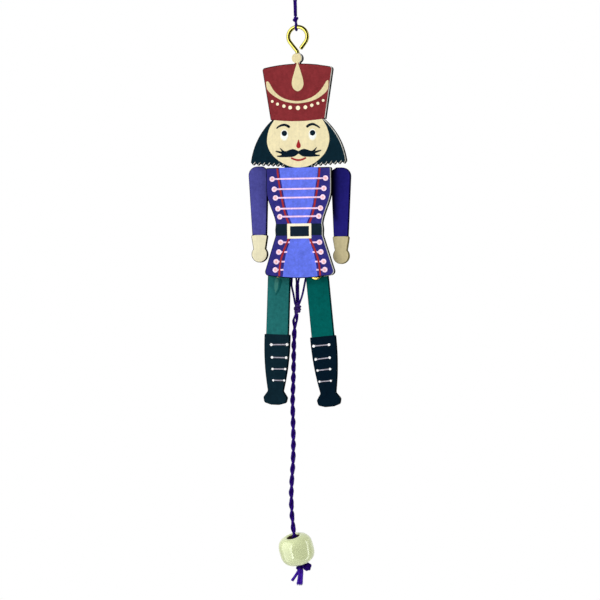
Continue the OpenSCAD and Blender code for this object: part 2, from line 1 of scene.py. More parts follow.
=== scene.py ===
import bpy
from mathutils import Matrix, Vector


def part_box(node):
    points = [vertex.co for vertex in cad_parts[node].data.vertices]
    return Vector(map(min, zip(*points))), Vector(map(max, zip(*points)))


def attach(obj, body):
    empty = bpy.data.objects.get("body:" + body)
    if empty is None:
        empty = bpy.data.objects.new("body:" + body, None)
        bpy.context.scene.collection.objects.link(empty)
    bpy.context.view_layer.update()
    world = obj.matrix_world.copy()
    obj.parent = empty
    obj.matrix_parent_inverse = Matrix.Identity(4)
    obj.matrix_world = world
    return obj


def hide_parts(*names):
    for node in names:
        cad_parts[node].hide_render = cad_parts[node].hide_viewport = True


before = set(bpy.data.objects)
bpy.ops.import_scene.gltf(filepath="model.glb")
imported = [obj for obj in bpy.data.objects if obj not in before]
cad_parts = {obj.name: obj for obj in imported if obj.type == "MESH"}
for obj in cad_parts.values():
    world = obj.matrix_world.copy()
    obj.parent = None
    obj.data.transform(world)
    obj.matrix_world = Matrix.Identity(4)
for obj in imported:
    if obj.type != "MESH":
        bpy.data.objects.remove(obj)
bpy.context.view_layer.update()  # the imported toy: its nodes, bodies and joints

import math
import random

import bmesh
import bpy
from mathutils import Matrix, Vector

# Lengths are written in millimetres and go through mm() on their way into Blender.
# Places on the painted fronts are (x, height); height 0 lies 158 mm below the hanging loop's top.

drawing = {
    "zeroHeight": -158.0,
    "printAxis": 0.2,  # the print sits a little to the right on its plate
    "skirtAxis": 0.4,
    "firstCoat": 0.05,  # how far a printed layer stands out
    "nextCoat": 0.03,  # what each further layer adds
    "coatFoot": 0.05,  # how far a printed layer reaches into the wood
}


def mm(*values):
    return Vector(values) * 0.001


def srgb(red, green, blue):
    channels = []
    for value in (red, green, blue):
        share = value / 255
        channels.append(share / 12.92 if share <= 0.04045 else ((share + 0.055) / 1.055) ** 2.4)
    return (*channels, 1.0)


def towards(azimuth, rise):
    # azimuth 0 is straight in front of the toy, and grows to the viewer's right
    turn, rise = math.radians(azimuth), math.radians(rise)
    return Vector((math.sin(turn) * math.cos(rise), -math.cos(turn) * math.cos(rise), math.sin(rise)))


# camera

camera = {
    "azimuth": 13.0,
    "distance": 1600.0,
    "target": (0.2, -2.0, -158.0),
    "viewWidth": 300.0,  # what the picture shows at the target's distance
    "roll": 0.6,
    "sensor": 36.0,
    "clip": (0.05, 30),  # in metres
}


def placeCamera():
    turn = math.radians(camera["azimuth"])
    roll = math.radians(camera["roll"])
    toCamera = towards(camera["azimuth"], 0)
    right = Vector((math.cos(turn), math.sin(turn), 0))
    up = Vector((0, 0, 1))
    data = bpy.data.cameras.new("productCamera")
    data.sensor_width = camera["sensor"]
    data.lens = camera["sensor"] * camera["distance"] / camera["viewWidth"]
    data.clip_start, data.clip_end = camera["clip"]
    lens = bpy.data.objects.new("productCamera", data)
    bpy.context.scene.collection.objects.link(lens)
    rolledRight = right * math.cos(roll) - up * math.sin(roll)
    rolledUp = right * math.sin(roll) + up * math.cos(roll)
    axes = Matrix((rolledRight, rolledUp, toCamera)).transposed().to_4x4()
    place = mm(*camera["target"]) + toCamera * camera["distance"] * 0.001
    lens.matrix_world = Matrix.Translation(place) @ axes
    bpy.context.scene.camera = lens


placeCamera()
print("camera ready")


# material helpers


def addNode(tree, kind, values=None, **settings):
    # a value is a number, a colour or a socket to link from
    node = tree.nodes.new(kind)
    for name, value in settings.items():
        setattr(node, name, value)
    for name, value in (values or {}).items():
        if isinstance(value, bpy.types.NodeSocket):
            tree.links.new(value, node.inputs[name])
        else:
            node.inputs[name].default_value = value
    return node


def compute(tree, operation, *values):
    return addNode(tree, "ShaderNodeMath", dict(enumerate(values)), operation=operation).outputs[0]


def mapRange(tree, source, fromLow, fromHigh, toLow=0.0, toHigh=1.0, **settings):
    values = {"Value": source, "From Min": fromLow, "From Max": fromHigh, "To Min": toLow, "To Max": toHigh}
    return addNode(tree, "ShaderNodeMapRange", values, **settings).outputs[0]


def mixed(tree, factor, first, second):
    return addNode(tree, "ShaderNodeMix", {"Factor": factor, "A": first, "B": second}).outputs[0]


def noise(tree, place, scale, detail, roughness, distortion=0.0):
    values = {"Vector": place, "Scale": scale, "Detail": detail}
    values.update({"Roughness": roughness, "Distortion": distortion})
    return addNode(tree, "ShaderNodeTexNoise", values).outputs[0]


def colourRamp(tree, source, low, high):
    # low and high are each a place on the ramp with its colour
    ramp = addNode(tree, "ShaderNodeValToRGB", {0: source})
    for element, (position, colour) in zip(ramp.color_ramp.elements, (low, high)):
        element.position, element.color = position, colour
    return ramp.outputs[0]


def scaled(tree, source, factors):
    return addNode(tree, "ShaderNodeVectorMath", {0: source, 1: factors}, operation="MULTIPLY").outputs[0]


def shareAlong(tree, source, axis):
    # how far a place or a direction lies along an axis
    dot = addNode(tree, "ShaderNodeVectorMath", {0: source, 1: axis}, operation="DOT_PRODUCT")
    return dot.outputs["Value"]


def partOf(tree, source, letter):
    return addNode(tree, "ShaderNodeSeparateXYZ", {0: source}).outputs[letter]


def objectPlace(tree):
    return addNode(tree, "ShaderNodeTexCoord").outputs["Object"]


def scaleUp(tree, source, strength, middle=1.0):
    # turns a 0 to 1 pattern into a factor round middle
    return compute(tree, "MULTIPLY_ADD", compute(tree, "SUBTRACT", source, 0.5), strength, middle)


def varied(tree, colour, factor):
    # a colour made lighter and darker by a factor
    return addNode(tree, "ShaderNodeHueSaturation", {"Color": colour, "Value": factor}).outputs[0]


def newGroup(name, inputs, outputs):
    group = bpy.data.node_groups.new(name, "ShaderNodeTree")
    for label, value in inputs.items():
        socket = group.interface.new_socket(name=label, in_out="INPUT", socket_type="NodeSocketFloat")
        socket.default_value = value
    for label in outputs:
        group.interface.new_socket(name=label, in_out="OUTPUT", socket_type="NodeSocketFloat")
    return group, group.nodes.new("NodeGroupInput").outputs, group.nodes.new("NodeGroupOutput").inputs


def makeGrain():
    # long wood fibres along the height, with short dark pores
    sizes = {"Fibre Width": 1100.0, "Stretch": 0.045}
    group, given, result = newGroup("woodGrain", sizes, ["Grain", "Pores"])
    size = addNode(group, "ShaderNodeCombineXYZ", {"X": 1.0, "Y": 1.0, "Z": given["Stretch"]})
    place = scaled(group, objectPlace(group), size.outputs[0])
    fibres = noise(group, place, given["Fibre Width"], detail=6.0, roughness=0.62, distortion=0.25)
    poreScale = compute(group, "MULTIPLY", given["Fibre Width"], 2.6)
    pores = noise(group, place, poreScale, detail=2.0, roughness=0.5)
    group.links.new(fibres, result["Grain"])
    group.links.new(mapRange(group, pores, 0.6, 0.74), result["Pores"])
    return group


def makeMottle():
    # uneven ink: broad clouds and a fine speckle
    group, given, result = newGroup("inkMottle", {"Clouds": 170.0, "Speckle": 760.0}, ["Mottle"])
    place = objectPlace(group)
    clouds = noise(group, place, given["Clouds"], detail=4.0, roughness=0.6)
    speckle = noise(group, place, given["Speckle"], detail=2.0, roughness=0.7)
    group.links.new(mixed(group, 0.6, clouds, speckle), result["Mottle"])
    return group


grainGroup = makeGrain()
mottleGroup = makeMottle()


def newMaterial(name, **sockets):
    material = bpy.data.materials.new(name)
    material.use_nodes = True
    shader = material.node_tree.nodes["Principled BSDF"]
    for label, value in sockets.items():
        shader.inputs[label.replace("_", " ")].default_value = value
    return material, material.node_tree, shader


def useGroup(tree, group, **values):
    named = {label.replace("_", " "): value for label, value in values.items()}
    return addNode(tree, "ShaderNodeGroup", named, node_tree=group).outputs


def setSurface(tree, shader, colour, roughness, relief=None, depth=0.0, strength=0.0):
    # depth in millimetres
    tree.links.new(colour, shader.inputs["Base Color"])
    tree.links.new(roughness, shader.inputs["Roughness"])
    if relief is not None:
        values = {"Height": relief, "Distance": depth * 0.001, "Strength": strength}
        tree.links.new(addNode(tree, "ShaderNodeBump", values).outputs[0], shader.inputs["Normal"])


# printed ink

paint = {
    "shine": 0.015,
    "cloudiness": 1.1,
    "paleCloudiness": 0.5,
    "grain": 0.25,  # how much of the wood's fibres shows through
    "pores": 0.6,
    "roughness": (0.22, 0.5),  # its spread and its middle
    "relief": (0.03, 0.5),  # depth in millimetres and strength
}


def paintMaterial(name, colour, cloudiness):
    # ink on sanded plywood: the grain and the mottle show through
    material, tree, shader = newMaterial(name, Specular_IOR_Level=paint["shine"])
    mottle = useGroup(tree, mottleGroup)["Mottle"]
    fibres = useGroup(tree, grainGroup)
    cloudy = scaleUp(tree, mottle, cloudiness)
    streaked = scaleUp(tree, fibres["Grain"], paint["grain"], 0.0)
    relief = compute(tree, "MULTIPLY_ADD", fibres["Pores"], -paint["pores"], fibres["Grain"])
    setSurface(tree, shader, varied(tree, colour, compute(tree, "ADD", cloudy, streaked)),
               scaleUp(tree, mottle, *paint["roughness"]), relief, *paint["relief"])
    return material


inks = {
    "hatRed": (129, 46, 50),
    "plumeCream": (225, 211, 165),
    "dotCream": (250, 240, 205),
    "faceCream": (234, 222, 179),
    "hairTeal": (11, 34, 45),
    "beltTeal": (20, 35, 48),
    "lineTeal": (10, 26, 38),
    "pupilTeal": (14, 36, 50),
    "eyeWhite": (246, 250, 244),
    "eyeHalo": (243, 238, 212),
    "noseRed": (158, 40, 44),
    "lipRed": (165, 44, 50),
    "jacketViolet": (49, 47, 122),
    "panelBlue": (98, 116, 230),
    "stripeRed": (160, 48, 50),
    "frogPink": (243, 205, 236),
    "buttonPink": (250, 217, 236),
    "buttonPeach": (247, 185, 178),
    "buckleCream": (253, 244, 214),
    # the sleeves, trousers, boots and gloves each have one paint in a left and a right copy: the left copy
    # lighter as a painted sheen from the lamps on the left, the right copy darker as painted shading
    "leftSleeve": (75, 75, 150),
    "rightSleeve": (35, 31, 117),
    "leftTrouser": (33, 104, 103),
    "paleTrouserPatch": (62, 124, 116),
    "darkTrouser": (14, 84, 82),
    "rightTrouser": (2, 91, 87),
    "leftBoot": (13, 34, 44),
    "rightBoot": (4, 21, 34),
    "laceWhite": (246, 246, 246),
    "laceGrey": (165, 160, 172),
    "leftGlove": (231, 224, 190),
    "rightGlove": (200, 188, 146),
}
paleInks = ("plumeCream", "faceCream", "dotCream", "leftGlove", "rightGlove", "eyeHalo", "eyeWhite",
            "buckleCream")
ink = {}
for name, values in inks.items():
    cloudiness = paint["paleCloudiness" if name in paleInks else "cloudiness"]
    ink[name] = paintMaterial(name, srgb(*values), cloudiness)


def paintShadowAndGradient(name, start, end, axis, floor, reach=None):
    # the ink goes darker from end to start along an axis of the toy, in millimetres: a painted shadow on the
    # right sleeve and a darker gradient on the right glove
    tree = ink[name].node_tree
    shader = tree.nodes["Principled BSDF"]
    before = shader.inputs["Base Color"].links[0].from_socket
    place = objectPlace(tree)
    strength = mapRange(tree, shareAlong(tree, place, axis), start * 0.001, end * 0.001, floor,
                        interpolation_type="SMOOTHSTEP")
    if reach:
        # the painted shadow ends below a height
        low, high = [(level + drawing["zeroHeight"]) * 0.001 for level in reach]
        fade = mapRange(tree, partOf(tree, place, "Z"), low, high, 1.0, 0.0)
        strength = compute(tree, "MAXIMUM", strength, fade)
    tree.links.new(varied(tree, before, strength), shader.inputs["Base Color"])


# painted shadow: the front plate's shadow on the top of the right sleeve, next to the jacket
paintShadowAndGradient("rightSleeve", 16.2, 20.2, (1, 0, 0), 0.03, (38, 44))
# the right glove's ink goes darker towards its lower left
paintShadowAndGradient("rightGlove", -96.5, -85.5, (0.85, 0, 0.53), 0.14)


# wood without ink

sawn = {
    "bands": 1.5,  # half waves of light and dark plies in a millimetre
    "bandStrength": 0.22,
    "marks": 2400.0,
    "markStretch": 0.12,
    "ramp": (0.3, 0.85),
    "roughness": (0.3, 0.62),
    "relief": (0.05, 0.6),
}


def edgeMaterial(name, dark, light):
    # sawn plywood edges: dark, with the plies as faint bands and saw marks across them
    material, tree, shader = newMaterial(name, Specular_IOR_Level=0.0)
    place = objectPlace(tree)
    depth = compute(tree, "MULTIPLY", partOf(tree, place, "Y"), sawn["bands"] * math.pi * 1000)
    bands = compute(tree, "SINE", depth)
    stretched = scaled(tree, place, (1, sawn["markStretch"], 1))
    marks = noise(tree, stretched, sawn["marks"], detail=4.0, roughness=0.65)
    surface = compute(tree, "MULTIPLY_ADD", bands, sawn["bandStrength"], marks)
    colour = colourRamp(tree, surface, (sawn["ramp"][0], srgb(*dark)), (sawn["ramp"][1], srgb(*light)))
    setSurface(tree, shader, colour, scaleUp(tree, marks, *sawn["roughness"]), surface, *sawn["relief"])
    return material


bare = {
    "fibreWidth": 700.0,
    "stretch": 0.035,
    "clouds": 60.0,
    "cloudiness": 0.25,
    "ramp": (0.34, 0.62),
    "roughnessSpread": 0.2,
    "relief": (0.04, 0.5),
}


def bareMaterial(name, light, dark, roughness):
    # bare sanded birch, as on the backs; pale on the front plate's right-hand eased edges as a painted
    # highlight
    material, tree, shader = newMaterial(name, Specular_IOR_Level=0.4)
    fibres = useGroup(tree, grainGroup, Fibre_Width=bare["fibreWidth"], Stretch=bare["stretch"])
    mottle = useGroup(tree, mottleGroup, Clouds=bare["clouds"])["Mottle"]
    grown = colourRamp(tree, fibres["Grain"], (bare["ramp"][0], srgb(*dark)), (bare["ramp"][1], srgb(*light)))
    stained = varied(tree, grown, scaleUp(tree, mottle, bare["cloudiness"]))
    # inputs 6 and 7 and output 2 of a Mix node are its colours
    pored = addNode(tree, "ShaderNodeMix", {0: fibres["Pores"], 6: stained, 7: srgb(*dark)}, data_type="RGBA")
    rough = scaleUp(tree, fibres["Grain"], bare["roughnessSpread"], roughness)
    setSurface(tree, shader, pored.outputs[2], rough, fibres["Grain"], *bare["relief"])
    return material


wood = {
    "edge": edgeMaterial("sawnEdge", (1, 2, 2), (14, 12, 10)),
    "darkArris": edgeMaterial("darkEasedEdge", (1, 2, 3), (8, 10, 12)),
    # painted highlight: pale bare wood on the front plate's right-hand eased edges, while its other eased
    # edges stay dark
    "highlightArris": bareMaterial("highlightEasedEdge", (214, 214, 206), (160, 158, 150), 0.42),
    "sleeveEdge": edgeMaterial("sleeveEdge", (4, 2, 34), (20, 14, 70)),
    "trouserEdge": edgeMaterial("trouserEdge", (0, 30, 34), (2, 56, 56)),
    "bootEdge": edgeMaterial("bootEdge", (2, 8, 14), (10, 22, 30)),
    "darkGloveEdge": edgeMaterial("darkGloveEdge", (8, 7, 4), (34, 29, 18)),
    "paleGloveEdge": edgeMaterial("paleGloveEdge", (84, 76, 44), (140, 130, 86)),
    "back": bareMaterial("bareBirch", (226, 200, 158), (178, 142, 98), 0.55),
    "bore": bareMaterial("bareBore", (92, 70, 48), (44, 32, 22), 0.7),
}


# brass, thread and lacquer


def mottledMaterial(name, scales, ramp, dark, light, roughness, relief=None, **sockets):
    # colour and gloss vary with the mottle; scales are those of its clouds and its speckle
    material, tree, shader = newMaterial(name, **sockets)
    mottle = useGroup(tree, mottleGroup, Clouds=scales[0], Speckle=scales[1])["Mottle"]
    colour = colourRamp(tree, mottle, (ramp[0], srgb(*dark)), (ramp[1], srgb(*light)))
    rough = scaleUp(tree, mottle, *roughness)
    if relief:
        setSurface(tree, shader, colour, rough, mottle, *relief)
    else:
        setSurface(tree, shader, colour, rough)
    return material


def metalMaterial(name, dark, light, roughness):
    return mottledMaterial(name, (420.0, 1500.0), (0.3, 0.52), dark, light, (0.05, roughness),
                           Metallic=1.0, Specular_IOR_Level=0.5)


def threadMaterial(name, dark, light, sheen):
    # twisted thread: fine fibres, darker and lighter at random
    return mottledMaterial(name, (900.0, 7000.0), (0.36, 0.64), dark, light, (0.3, 0.55), (0.03, 0.7),
                           Sheen_Weight=sheen, Sheen_Roughness=0.35, Sheen_Tint=srgb(120, 80, 225),
                           Specular_IOR_Level=0.05)


brass = metalMaterial("polishedBrass", (170, 162, 74), (188, 180, 92), 0.14)
pinBrass = metalMaterial("pinBrass", (172, 140, 60), (222, 196, 100), 0.24)
thread = threadMaterial("purpleThread", (10, 1, 56), (50, 12, 132), 0.02)
darkThread = threadMaterial("darkThread", (24, 12, 70), (84, 56, 142), 0.03)
tailThread = threadMaterial("tailThread", (34, 8, 108), (84, 40, 190), 0.05)
# pale green lacquer with a deep gloss over turned wood
lacquer = mottledMaterial("beadLacquer", (260.0, 1500.0), (0.2, 0.8), (204, 213, 162), (210, 219, 169),
                          (0.2, 0.42), Coat_Weight=1.0, Coat_Roughness=0.05, Coat_IOR=1.55,
                          Specular_IOR_Level=0.4)
print("materials ready")


# lines and tubes


def throughPoints(points, steps=10, closed=False):
    # a smooth line through the points
    count = len(points)
    line = []
    for i in range(count if closed else count - 1):
        near = []
        for k in (-1, 0, 1, 2):
            near.append(points[(i + k) % count] if closed else points[min(max(i + k, 0), count - 1)])
        a, b, c, d = near
        for k in range(steps):
            t = k / steps
            line.append((2 * b + (c - a) * t + (2 * a - 5 * b + 4 * c - d) * t * t
                         + (3 * b - a - 3 * c + d) * t ** 3) / 2)
    if not closed:
        line.append(points[-1].copy())
    return line


def lineLength(line):
    return sum((b - a).length for a, b in zip(line, line[1:]))


def evenly(line, step):
    # the same line with its points a step apart
    total = lineLength(line)
    count = max(2, round(total / step))
    result, walked, i = [line[0].copy()], 0.0, 0
    for k in range(1, count):
        goal = total * k / count
        while walked + (line[i + 1] - line[i]).length < goal:
            walked += (line[i + 1] - line[i]).length
            i += 1
        span = line[i + 1] - line[i]
        result.append(line[i] + span * ((goal - walked) / max(span.length, 1e-9)))
    result.append(line[-1].copy())
    return result


def carriedFrames(line):
    # two directions across a line at each point, which don't spin along it
    frames = []
    across = Vector((0, 1, 0))
    for i in range(len(line)):
        along = (line[min(i + 1, len(line) - 1)] - line[max(i - 1, 0)]).normalized()
        across = across - along * across.dot(along)
        if across.length < 1e-6:
            across = along.orthogonal()
        across.normalize()
        frames.append((across.copy(), along.cross(across)))
    return frames


def addTube(mesh, line, radius, sides=12, lobes=0, twist=1.0, depth=0.2, start=0.0, domed=False):
    # a tube along a line; with lobes, its outline is that of twisted plies
    rings, walked = [], 0.0
    frames = carriedFrames(line)
    for i, point in enumerate(line):
        if i:
            walked += (point - line[i - 1]).length
        width = radius(i / (len(line) - 1)) if callable(radius) else radius
        spin = start + (walked / twist * 2 * math.pi if lobes else 0)
        ring = []
        for k in range(sides):
            angle = 2 * math.pi * k / sides
            reach = width * (1 - depth * (0.5 - 0.5 * math.cos(lobes * angle))) if lobes else width
            u, v = frames[i]
            aside = u * math.cos(angle + spin) + v * math.sin(angle + spin)
            ring.append(mesh.verts.new((point + aside * reach) * 0.001))
        rings.append(ring)
    for a, b in zip(rings, rings[1:]):
        for k in range(sides):
            mesh.faces.new((a[k], a[(k + 1) % sides], b[(k + 1) % sides], b[k])).smooth = True
    for ring, i, j, flip in ((rings[0], 0, 1, True), (rings[-1], -1, -2, False)):
        if domed:
            out = (line[i] - line[j]).normalized()
            width = radius(1.0 if i else 0.0) if callable(radius) else radius
            tip = mesh.verts.new((line[i] + out * width * 0.45) * 0.001)
            for k in range(sides):
                near, far = ring[k], ring[(k + 1) % sides]
                mesh.faces.new((near, tip, far) if flip else (far, tip, near)).smooth = True
        else:
            mesh.faces.new(list(reversed(ring)) if flip else ring)


def wound(line, radius, pitch, phase, frames=None):
    # a strand that winds round a line; pitch may be a function that gives its turns so far
    frames = frames or carriedFrames(line)
    strand, walked = [], 0.0
    for i, point in enumerate(line):
        if i:
            walked += (point - line[i - 1]).length
        turns = pitch(walked) if callable(pitch) else walked / pitch
        angle = phase + turns * 2 * math.pi
        reach = radius(walked) if callable(radius) else radius
        u, v = frames[i]
        strand.append(point + (u * math.cos(angle) + v * math.sin(angle)) * reach)
    return strand


def finishPiece(name, mesh, materials, body, replaced=()):
    mesh.normal_update()
    data = bpy.data.meshes.new(name)
    mesh.to_mesh(data)
    mesh.free()
    for material in materials if isinstance(materials, (list, tuple)) else [materials]:
        data.materials.append(material)
    piece = bpy.data.objects.new(name, data)
    bpy.context.scene.collection.objects.link(piece)
    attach(piece, body)
    if replaced:
        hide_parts(*replaced)
    return piece


# cords: routes that follow the CAD parts' strings, which they replace; cords: routes within about
# half a millimetre of those in the CAD source, the cut ends within 1.2

cordRoutes = {
    "leftArm": [(-9.45, 7.9, -95.4), (-6.9, 7.9, -120), (-3.9, 7.9, -147), (-3.85, 7.9, -151),
                (-3.85, 7.9, -159.85)],
    "rightArm": [(7.95, 7.9, -96.7), (3.1, 7.9, -122), (-2.5, 7.9, -147), (-2.9, 7.9, -151),
                 (-2.9, 7.9, -159.85)],
    "leftLeg": [(-6.8, 6.7, -141.1), (-5.9, 6.7, -146.5), (-6.1, 6.7, -150.5), (-5.1, 6.7, -155.3),
                (-4.4, 6.7, -159.85)],
    "rightLeg": [(2.7, 6.7, -142.4), (1.2, 6.7, -147.5), (0.65, 6.7, -150), (-0.6, 6.7, -155.5),
                 (-2.2, 6.7, -159.85)],
    "pull": [(-3.6, 7.3, -165), (-4.6, 7.3, -168.5), (-4.95, 7.3, -173), (-5.35, 7.3, -181),
             (-5.6, 7.3, -191), (-5.95, 7.3, -201), (-6.3, 7.3, -209), (-6.2, 7.3, -218),
             (-6.1, 7.3, -228), (-6.4, 7.3, -239), (-7.1, 7.3, -248), (-7.5, 7.3, -256),
             (-7.3, 7.2, -265), (-6.6, 6.9, -272), (-6.1, 7, -277), (-5.1, 9, -283.5),
             (-4.03, 11.1, -290.55)],
    "loop": [(-1.4, 0, -15.97), (-1.48, 0, -14), (-1.52, 0, -11), (-1.65, 0, -8), (-1.85, 0, -5.4),
             (-1.75, 0, -3), (-1.2, 0, -1.2), (0, 0, -0.5), (1.1, 0, -1.2), (1.4, 0, -3), (0.5, 0, -5.4),
             (-0.68, 0, -8), (-0.72, 0, -11), (-0.72, 0, -14), (-0.66, 0, -15.97)],
}
tailRoutes = [
    [(-4.4, 11.6, -293.2), (-5.5, 11.8, -295.1), (-7.0, 11.8, -297.4), (-8.6, 11.8, -299.6)],
    [(-4.4, 11.8, -293.0), (-4.8, 12, -295.2), (-5.0, 11.9, -298.2), (-5.5, 11.8, -301.4)],
    [(-3.7, 11.9, -292.8), (-3.5, 12.1, -294.9), (-3.75, 12, -298.1), (-4.0, 11.8, -301.4)],
]

cord = {
    "thread": 1.14,  # thickness of a limb's string
    "twist": 1.7,  # length of one turn of its plies
    "plies": 3,
    "sides": 12,
    "step": 0.17,  # distance between a string's rings
    "intoKnot": (-3.4, 7.3, -161.6),  # where the limbs' strings end, inside the gather knot
    "hanging": 1.12,
}

random.seed(11)


def routeLine(points, step=cord["step"]):
    return evenly(throughPoints([Vector(p) for p in points]), step)


def addThread(mesh, line, thickness, twist=cord["twist"], depth=0.2, start=0.0):
    addTube(mesh, line, thickness / 2, cord["sides"], cord["plies"], twist, depth, start)


def limbString(name, route, replaced):
    line = routeLine(cordRoutes[route])
    mesh = bmesh.new()
    drawn = line + evenly([line[-1], Vector(cord["intoKnot"])], cord["step"])[1:]
    addThread(mesh, drawn, cord["thread"])
    piece = finishPiece(name, mesh, thread, "pull", (replaced,))
    return piece, line


pull = {
    "strand": 1.22,
    "step": 0.2,
    "plyDepth": 0.24,
    "apart": 0.62,  # from the cord's middle to each doubled string
    "fork": (0.2, 3.4, 1.2),  # further apart just under the gather knot: how far, where and over what length
    "pairGap": 0.18,
    "pairPitch": 8.4,
    "pairTurn": 0.9,
    # where the two doubled strings cross, as lengths along the cord
    "crossings": [7.4, 13.1, 18.5, 24, 29.5, 35, 40.5, 46, 52, 57.75, 63.25, 69, 75, 81, 87, 92.75, 99,
                  104.75, 110.7, 116.6, 122.5, 128.4],
    "turnsAtStart": 0.02,
    "turnsAtCrossing": 0.46,  # at the first one; each further crossing adds half a turn
}


def pullCord():
    line = routeLine(cordRoutes["pull"], pull["step"])
    frames = carriedFrames(line)
    mesh = bmesh.new()

    def spread(walked):
        extra, place, length = pull["fork"]
        return pull["apart"] + extra * math.exp(-((walked - place) / length) ** 2)

    def turnsAt(walked):
        before, done = 0.0, pull["turnsAtStart"]
        for number, crossing in enumerate(pull["crossings"]):
            here = pull["turnsAtCrossing"] + number * 0.5
            if walked <= crossing:
                return done + (here - done) * (walked - before) / (crossing - before)
            before, done = crossing, here
        return done

    for half in (0, 1):
        middle = wound(line, spread, turnsAt, math.pi * half, frames)
        for strand in (0, 1):
            phase = math.pi * strand + half * pull["pairTurn"]
            place = wound(middle, pull["pairGap"], pull["pairPitch"], phase)
            addThread(mesh, place, pull["strand"], cord["twist"], pull["plyDepth"], half + strand)
    piece = finishPiece("pullCord", mesh, thread, "pull", ("pull_cord",))
    return piece, line


def coilLine(centre, axis, radius, length, turns, start, tuck=0.35, lean=0.0):
    # a winding round an axis whose two ends go back into the middle
    along = Vector(axis).normalized()
    across = (Vector((0, -1, 0)) - along * along.dot(Vector((0, -1, 0)))).normalized()
    other = along.cross(across)
    count = round(turns * 26)
    line = []
    for i in range(count + 1):
        t = i / count
        angle = start + t * turns * 2 * math.pi
        ease = min(1.0, t / 0.1, (1 - t) / 0.1)
        reach = radius * (tuck + (1 - tuck) * math.sin(ease * math.pi / 2))
        tilt = lean * math.cos(angle)
        line.append(Vector(centre) + along * (length * (t - 0.5) + tilt)
                    + across * math.cos(angle) * reach + other * math.sin(angle) * reach)
    return line


def knotPiece(name, body, replaced, coils, material):
    mesh = bmesh.new()
    for coil in coils:
        strand = coil.pop("strand")
        addThread(mesh, evenly(coilLine(**coil), cord["step"]), strand, 1.9)
    piece = finishPiece(name, mesh, material, body, replaced)
    return piece


# the hanging loop over its knot, and the bight round the eye's wire
loopLine = routeLine(cordRoutes["loop"])
loopMesh = bmesh.new()
addThread(loopMesh, loopLine, cord["hanging"], 1.9, 0.24)
hangingLoop = finishPiece("hangingLoop", loopMesh, thread, "figure", ("hanging_cord",))

bight = {"start": (-0.95, 0.5, -18.2), "side": (-0.75, 0.8, -19.9), "foot": (-0.7, -21.25), "radius": 1.66}
bightPoints = [Vector(bight[key]) * Vector((1, -1, 1)) for key in ("start", "side")]
for i in range(11):
    angle = math.radians(180 + 180 * i / 10)
    x, z = bight["foot"]
    bightPoints.append(Vector((x, bight["radius"] * math.cos(angle), z + bight["radius"] * math.sin(angle))))
bightPoints += [bight["side"], bight["start"]]
bightMesh = bmesh.new()
addThread(bightMesh, routeLine(bightPoints), cord["hanging"], 1.8, 0.22)
eyeBight = finishPiece("eyeBight", bightMesh, thread, "figure")

hangingKnot = knotPiece("hangingKnot", "figure", ("hanging_knot",), [
    {"centre": (-1.3, 0, -17.9), "axis": (0.35, 0, 1), "radius": 0.72, "length": 0.5, "turns": 1.3,
     "start": 3.6, "strand": 1.1, "lean": 0.2},
    {"centre": (-0.75, -0.1, -16.9), "axis": (0.3, 0.1, 1), "radius": 0.72, "length": 0.5, "turns": 1.3,
     "start": 0.6, "strand": 1.1, "lean": -0.2},
    {"centre": (-1.0, 0, -17.3), "axis": (0.1, 0, 1), "radius": 0.3, "length": 2.2, "turns": 1.0,
     "start": 0.2, "strand": 1.1},
], thread)

# the strings from the limbs, and the knot that gathers them
leftArmString, leftArmLine = limbString("leftArmString", "leftArm", "left_arm_string")
rightArmString, rightArmLine = limbString("rightArmString", "rightArm", "right_arm_string")
limbString("leftLegString", "leftLeg", "left_leg_string")
limbString("rightLegString", "rightLeg", "right_leg_string")

gatherKnot = knotPiece("gatherKnot", "pull", ("gather_knot",), [
    {"centre": (-3.3, 7.3, -161.7), "axis": (0.5, 0, 1), "radius": 1.05, "length": 3.6, "turns": 2.9,
     "start": 0.4, "strand": 1.3, "lean": 0.3},
    {"centre": (-3.2, 7.2, -163.2), "axis": (-0.25, 0.1, 1), "radius": 1.25, "length": 1.9, "turns": 1.6,
     "start": 2.0, "strand": 1.35, "lean": -0.3},
    {"centre": (-3.5, 7.3, -162.4), "axis": (0.25, 0, 1), "radius": 0.55, "length": 5.2, "turns": 1.0,
     "start": 0.0, "strand": 1.6},
], darkThread)

# the knots behind the levers, each with its string's end through the hole
limbKnots = {
    "leftArm": {"body": "left_arm", "radius": 1.1, "length": 2.6, "turns": 2.6},
    "rightArm": {"body": "right_arm", "radius": 1.1, "length": 2.6, "turns": 2.6},
    "leftLeg": {"body": "left_leg", "radius": 1.0, "length": 1.2, "turns": 1.4},
    "rightLeg": {"body": "right_leg", "radius": 1.0, "length": 1.2, "turns": 1.4},
}
limbKnot = {
    "strand": 0.76,
    "coils": ((0.3, 0.12), (2.2, -0.15)),  # where each of the two starts, and its lean
    "inset": (0.42, 0.75),  # how much smaller a coil's middle line is than the knot, in radius and length
    "through": 1.0,  # thickness of the string in the hole
    "throughEnd": 0.5,  # how far short of the knot's back it ends
}
for limb, knot in limbKnots.items():
    node = knot["body"] + "_knot"
    low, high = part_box(node)
    middle = (low + high) * 500
    front, back = low.y * 1000, high.y * 1000
    mesh = bmesh.new()
    through = [Vector((middle.x, y, middle.z)) for y in (front, back - limbKnot["throughEnd"])]
    addThread(mesh, evenly(through, 0.2), limbKnot["through"])
    seat = Vector((middle.x, back - knot["length"] / 2, middle.z))
    radius, length = knot["radius"] - limbKnot["inset"][0], knot["length"] - limbKnot["inset"][1]
    for start, lean in limbKnot["coils"]:
        coil = coilLine(seat, (0, 1, 0.001), radius, length, knot["turns"], start, lean=lean)
        addThread(mesh, evenly(coil, cord["step"]), limbKnot["strand"])
    piece = finishPiece(limb + "Knot", mesh, darkThread, knot["body"], (node,))

pullCordPiece, pullLine = pullCord()

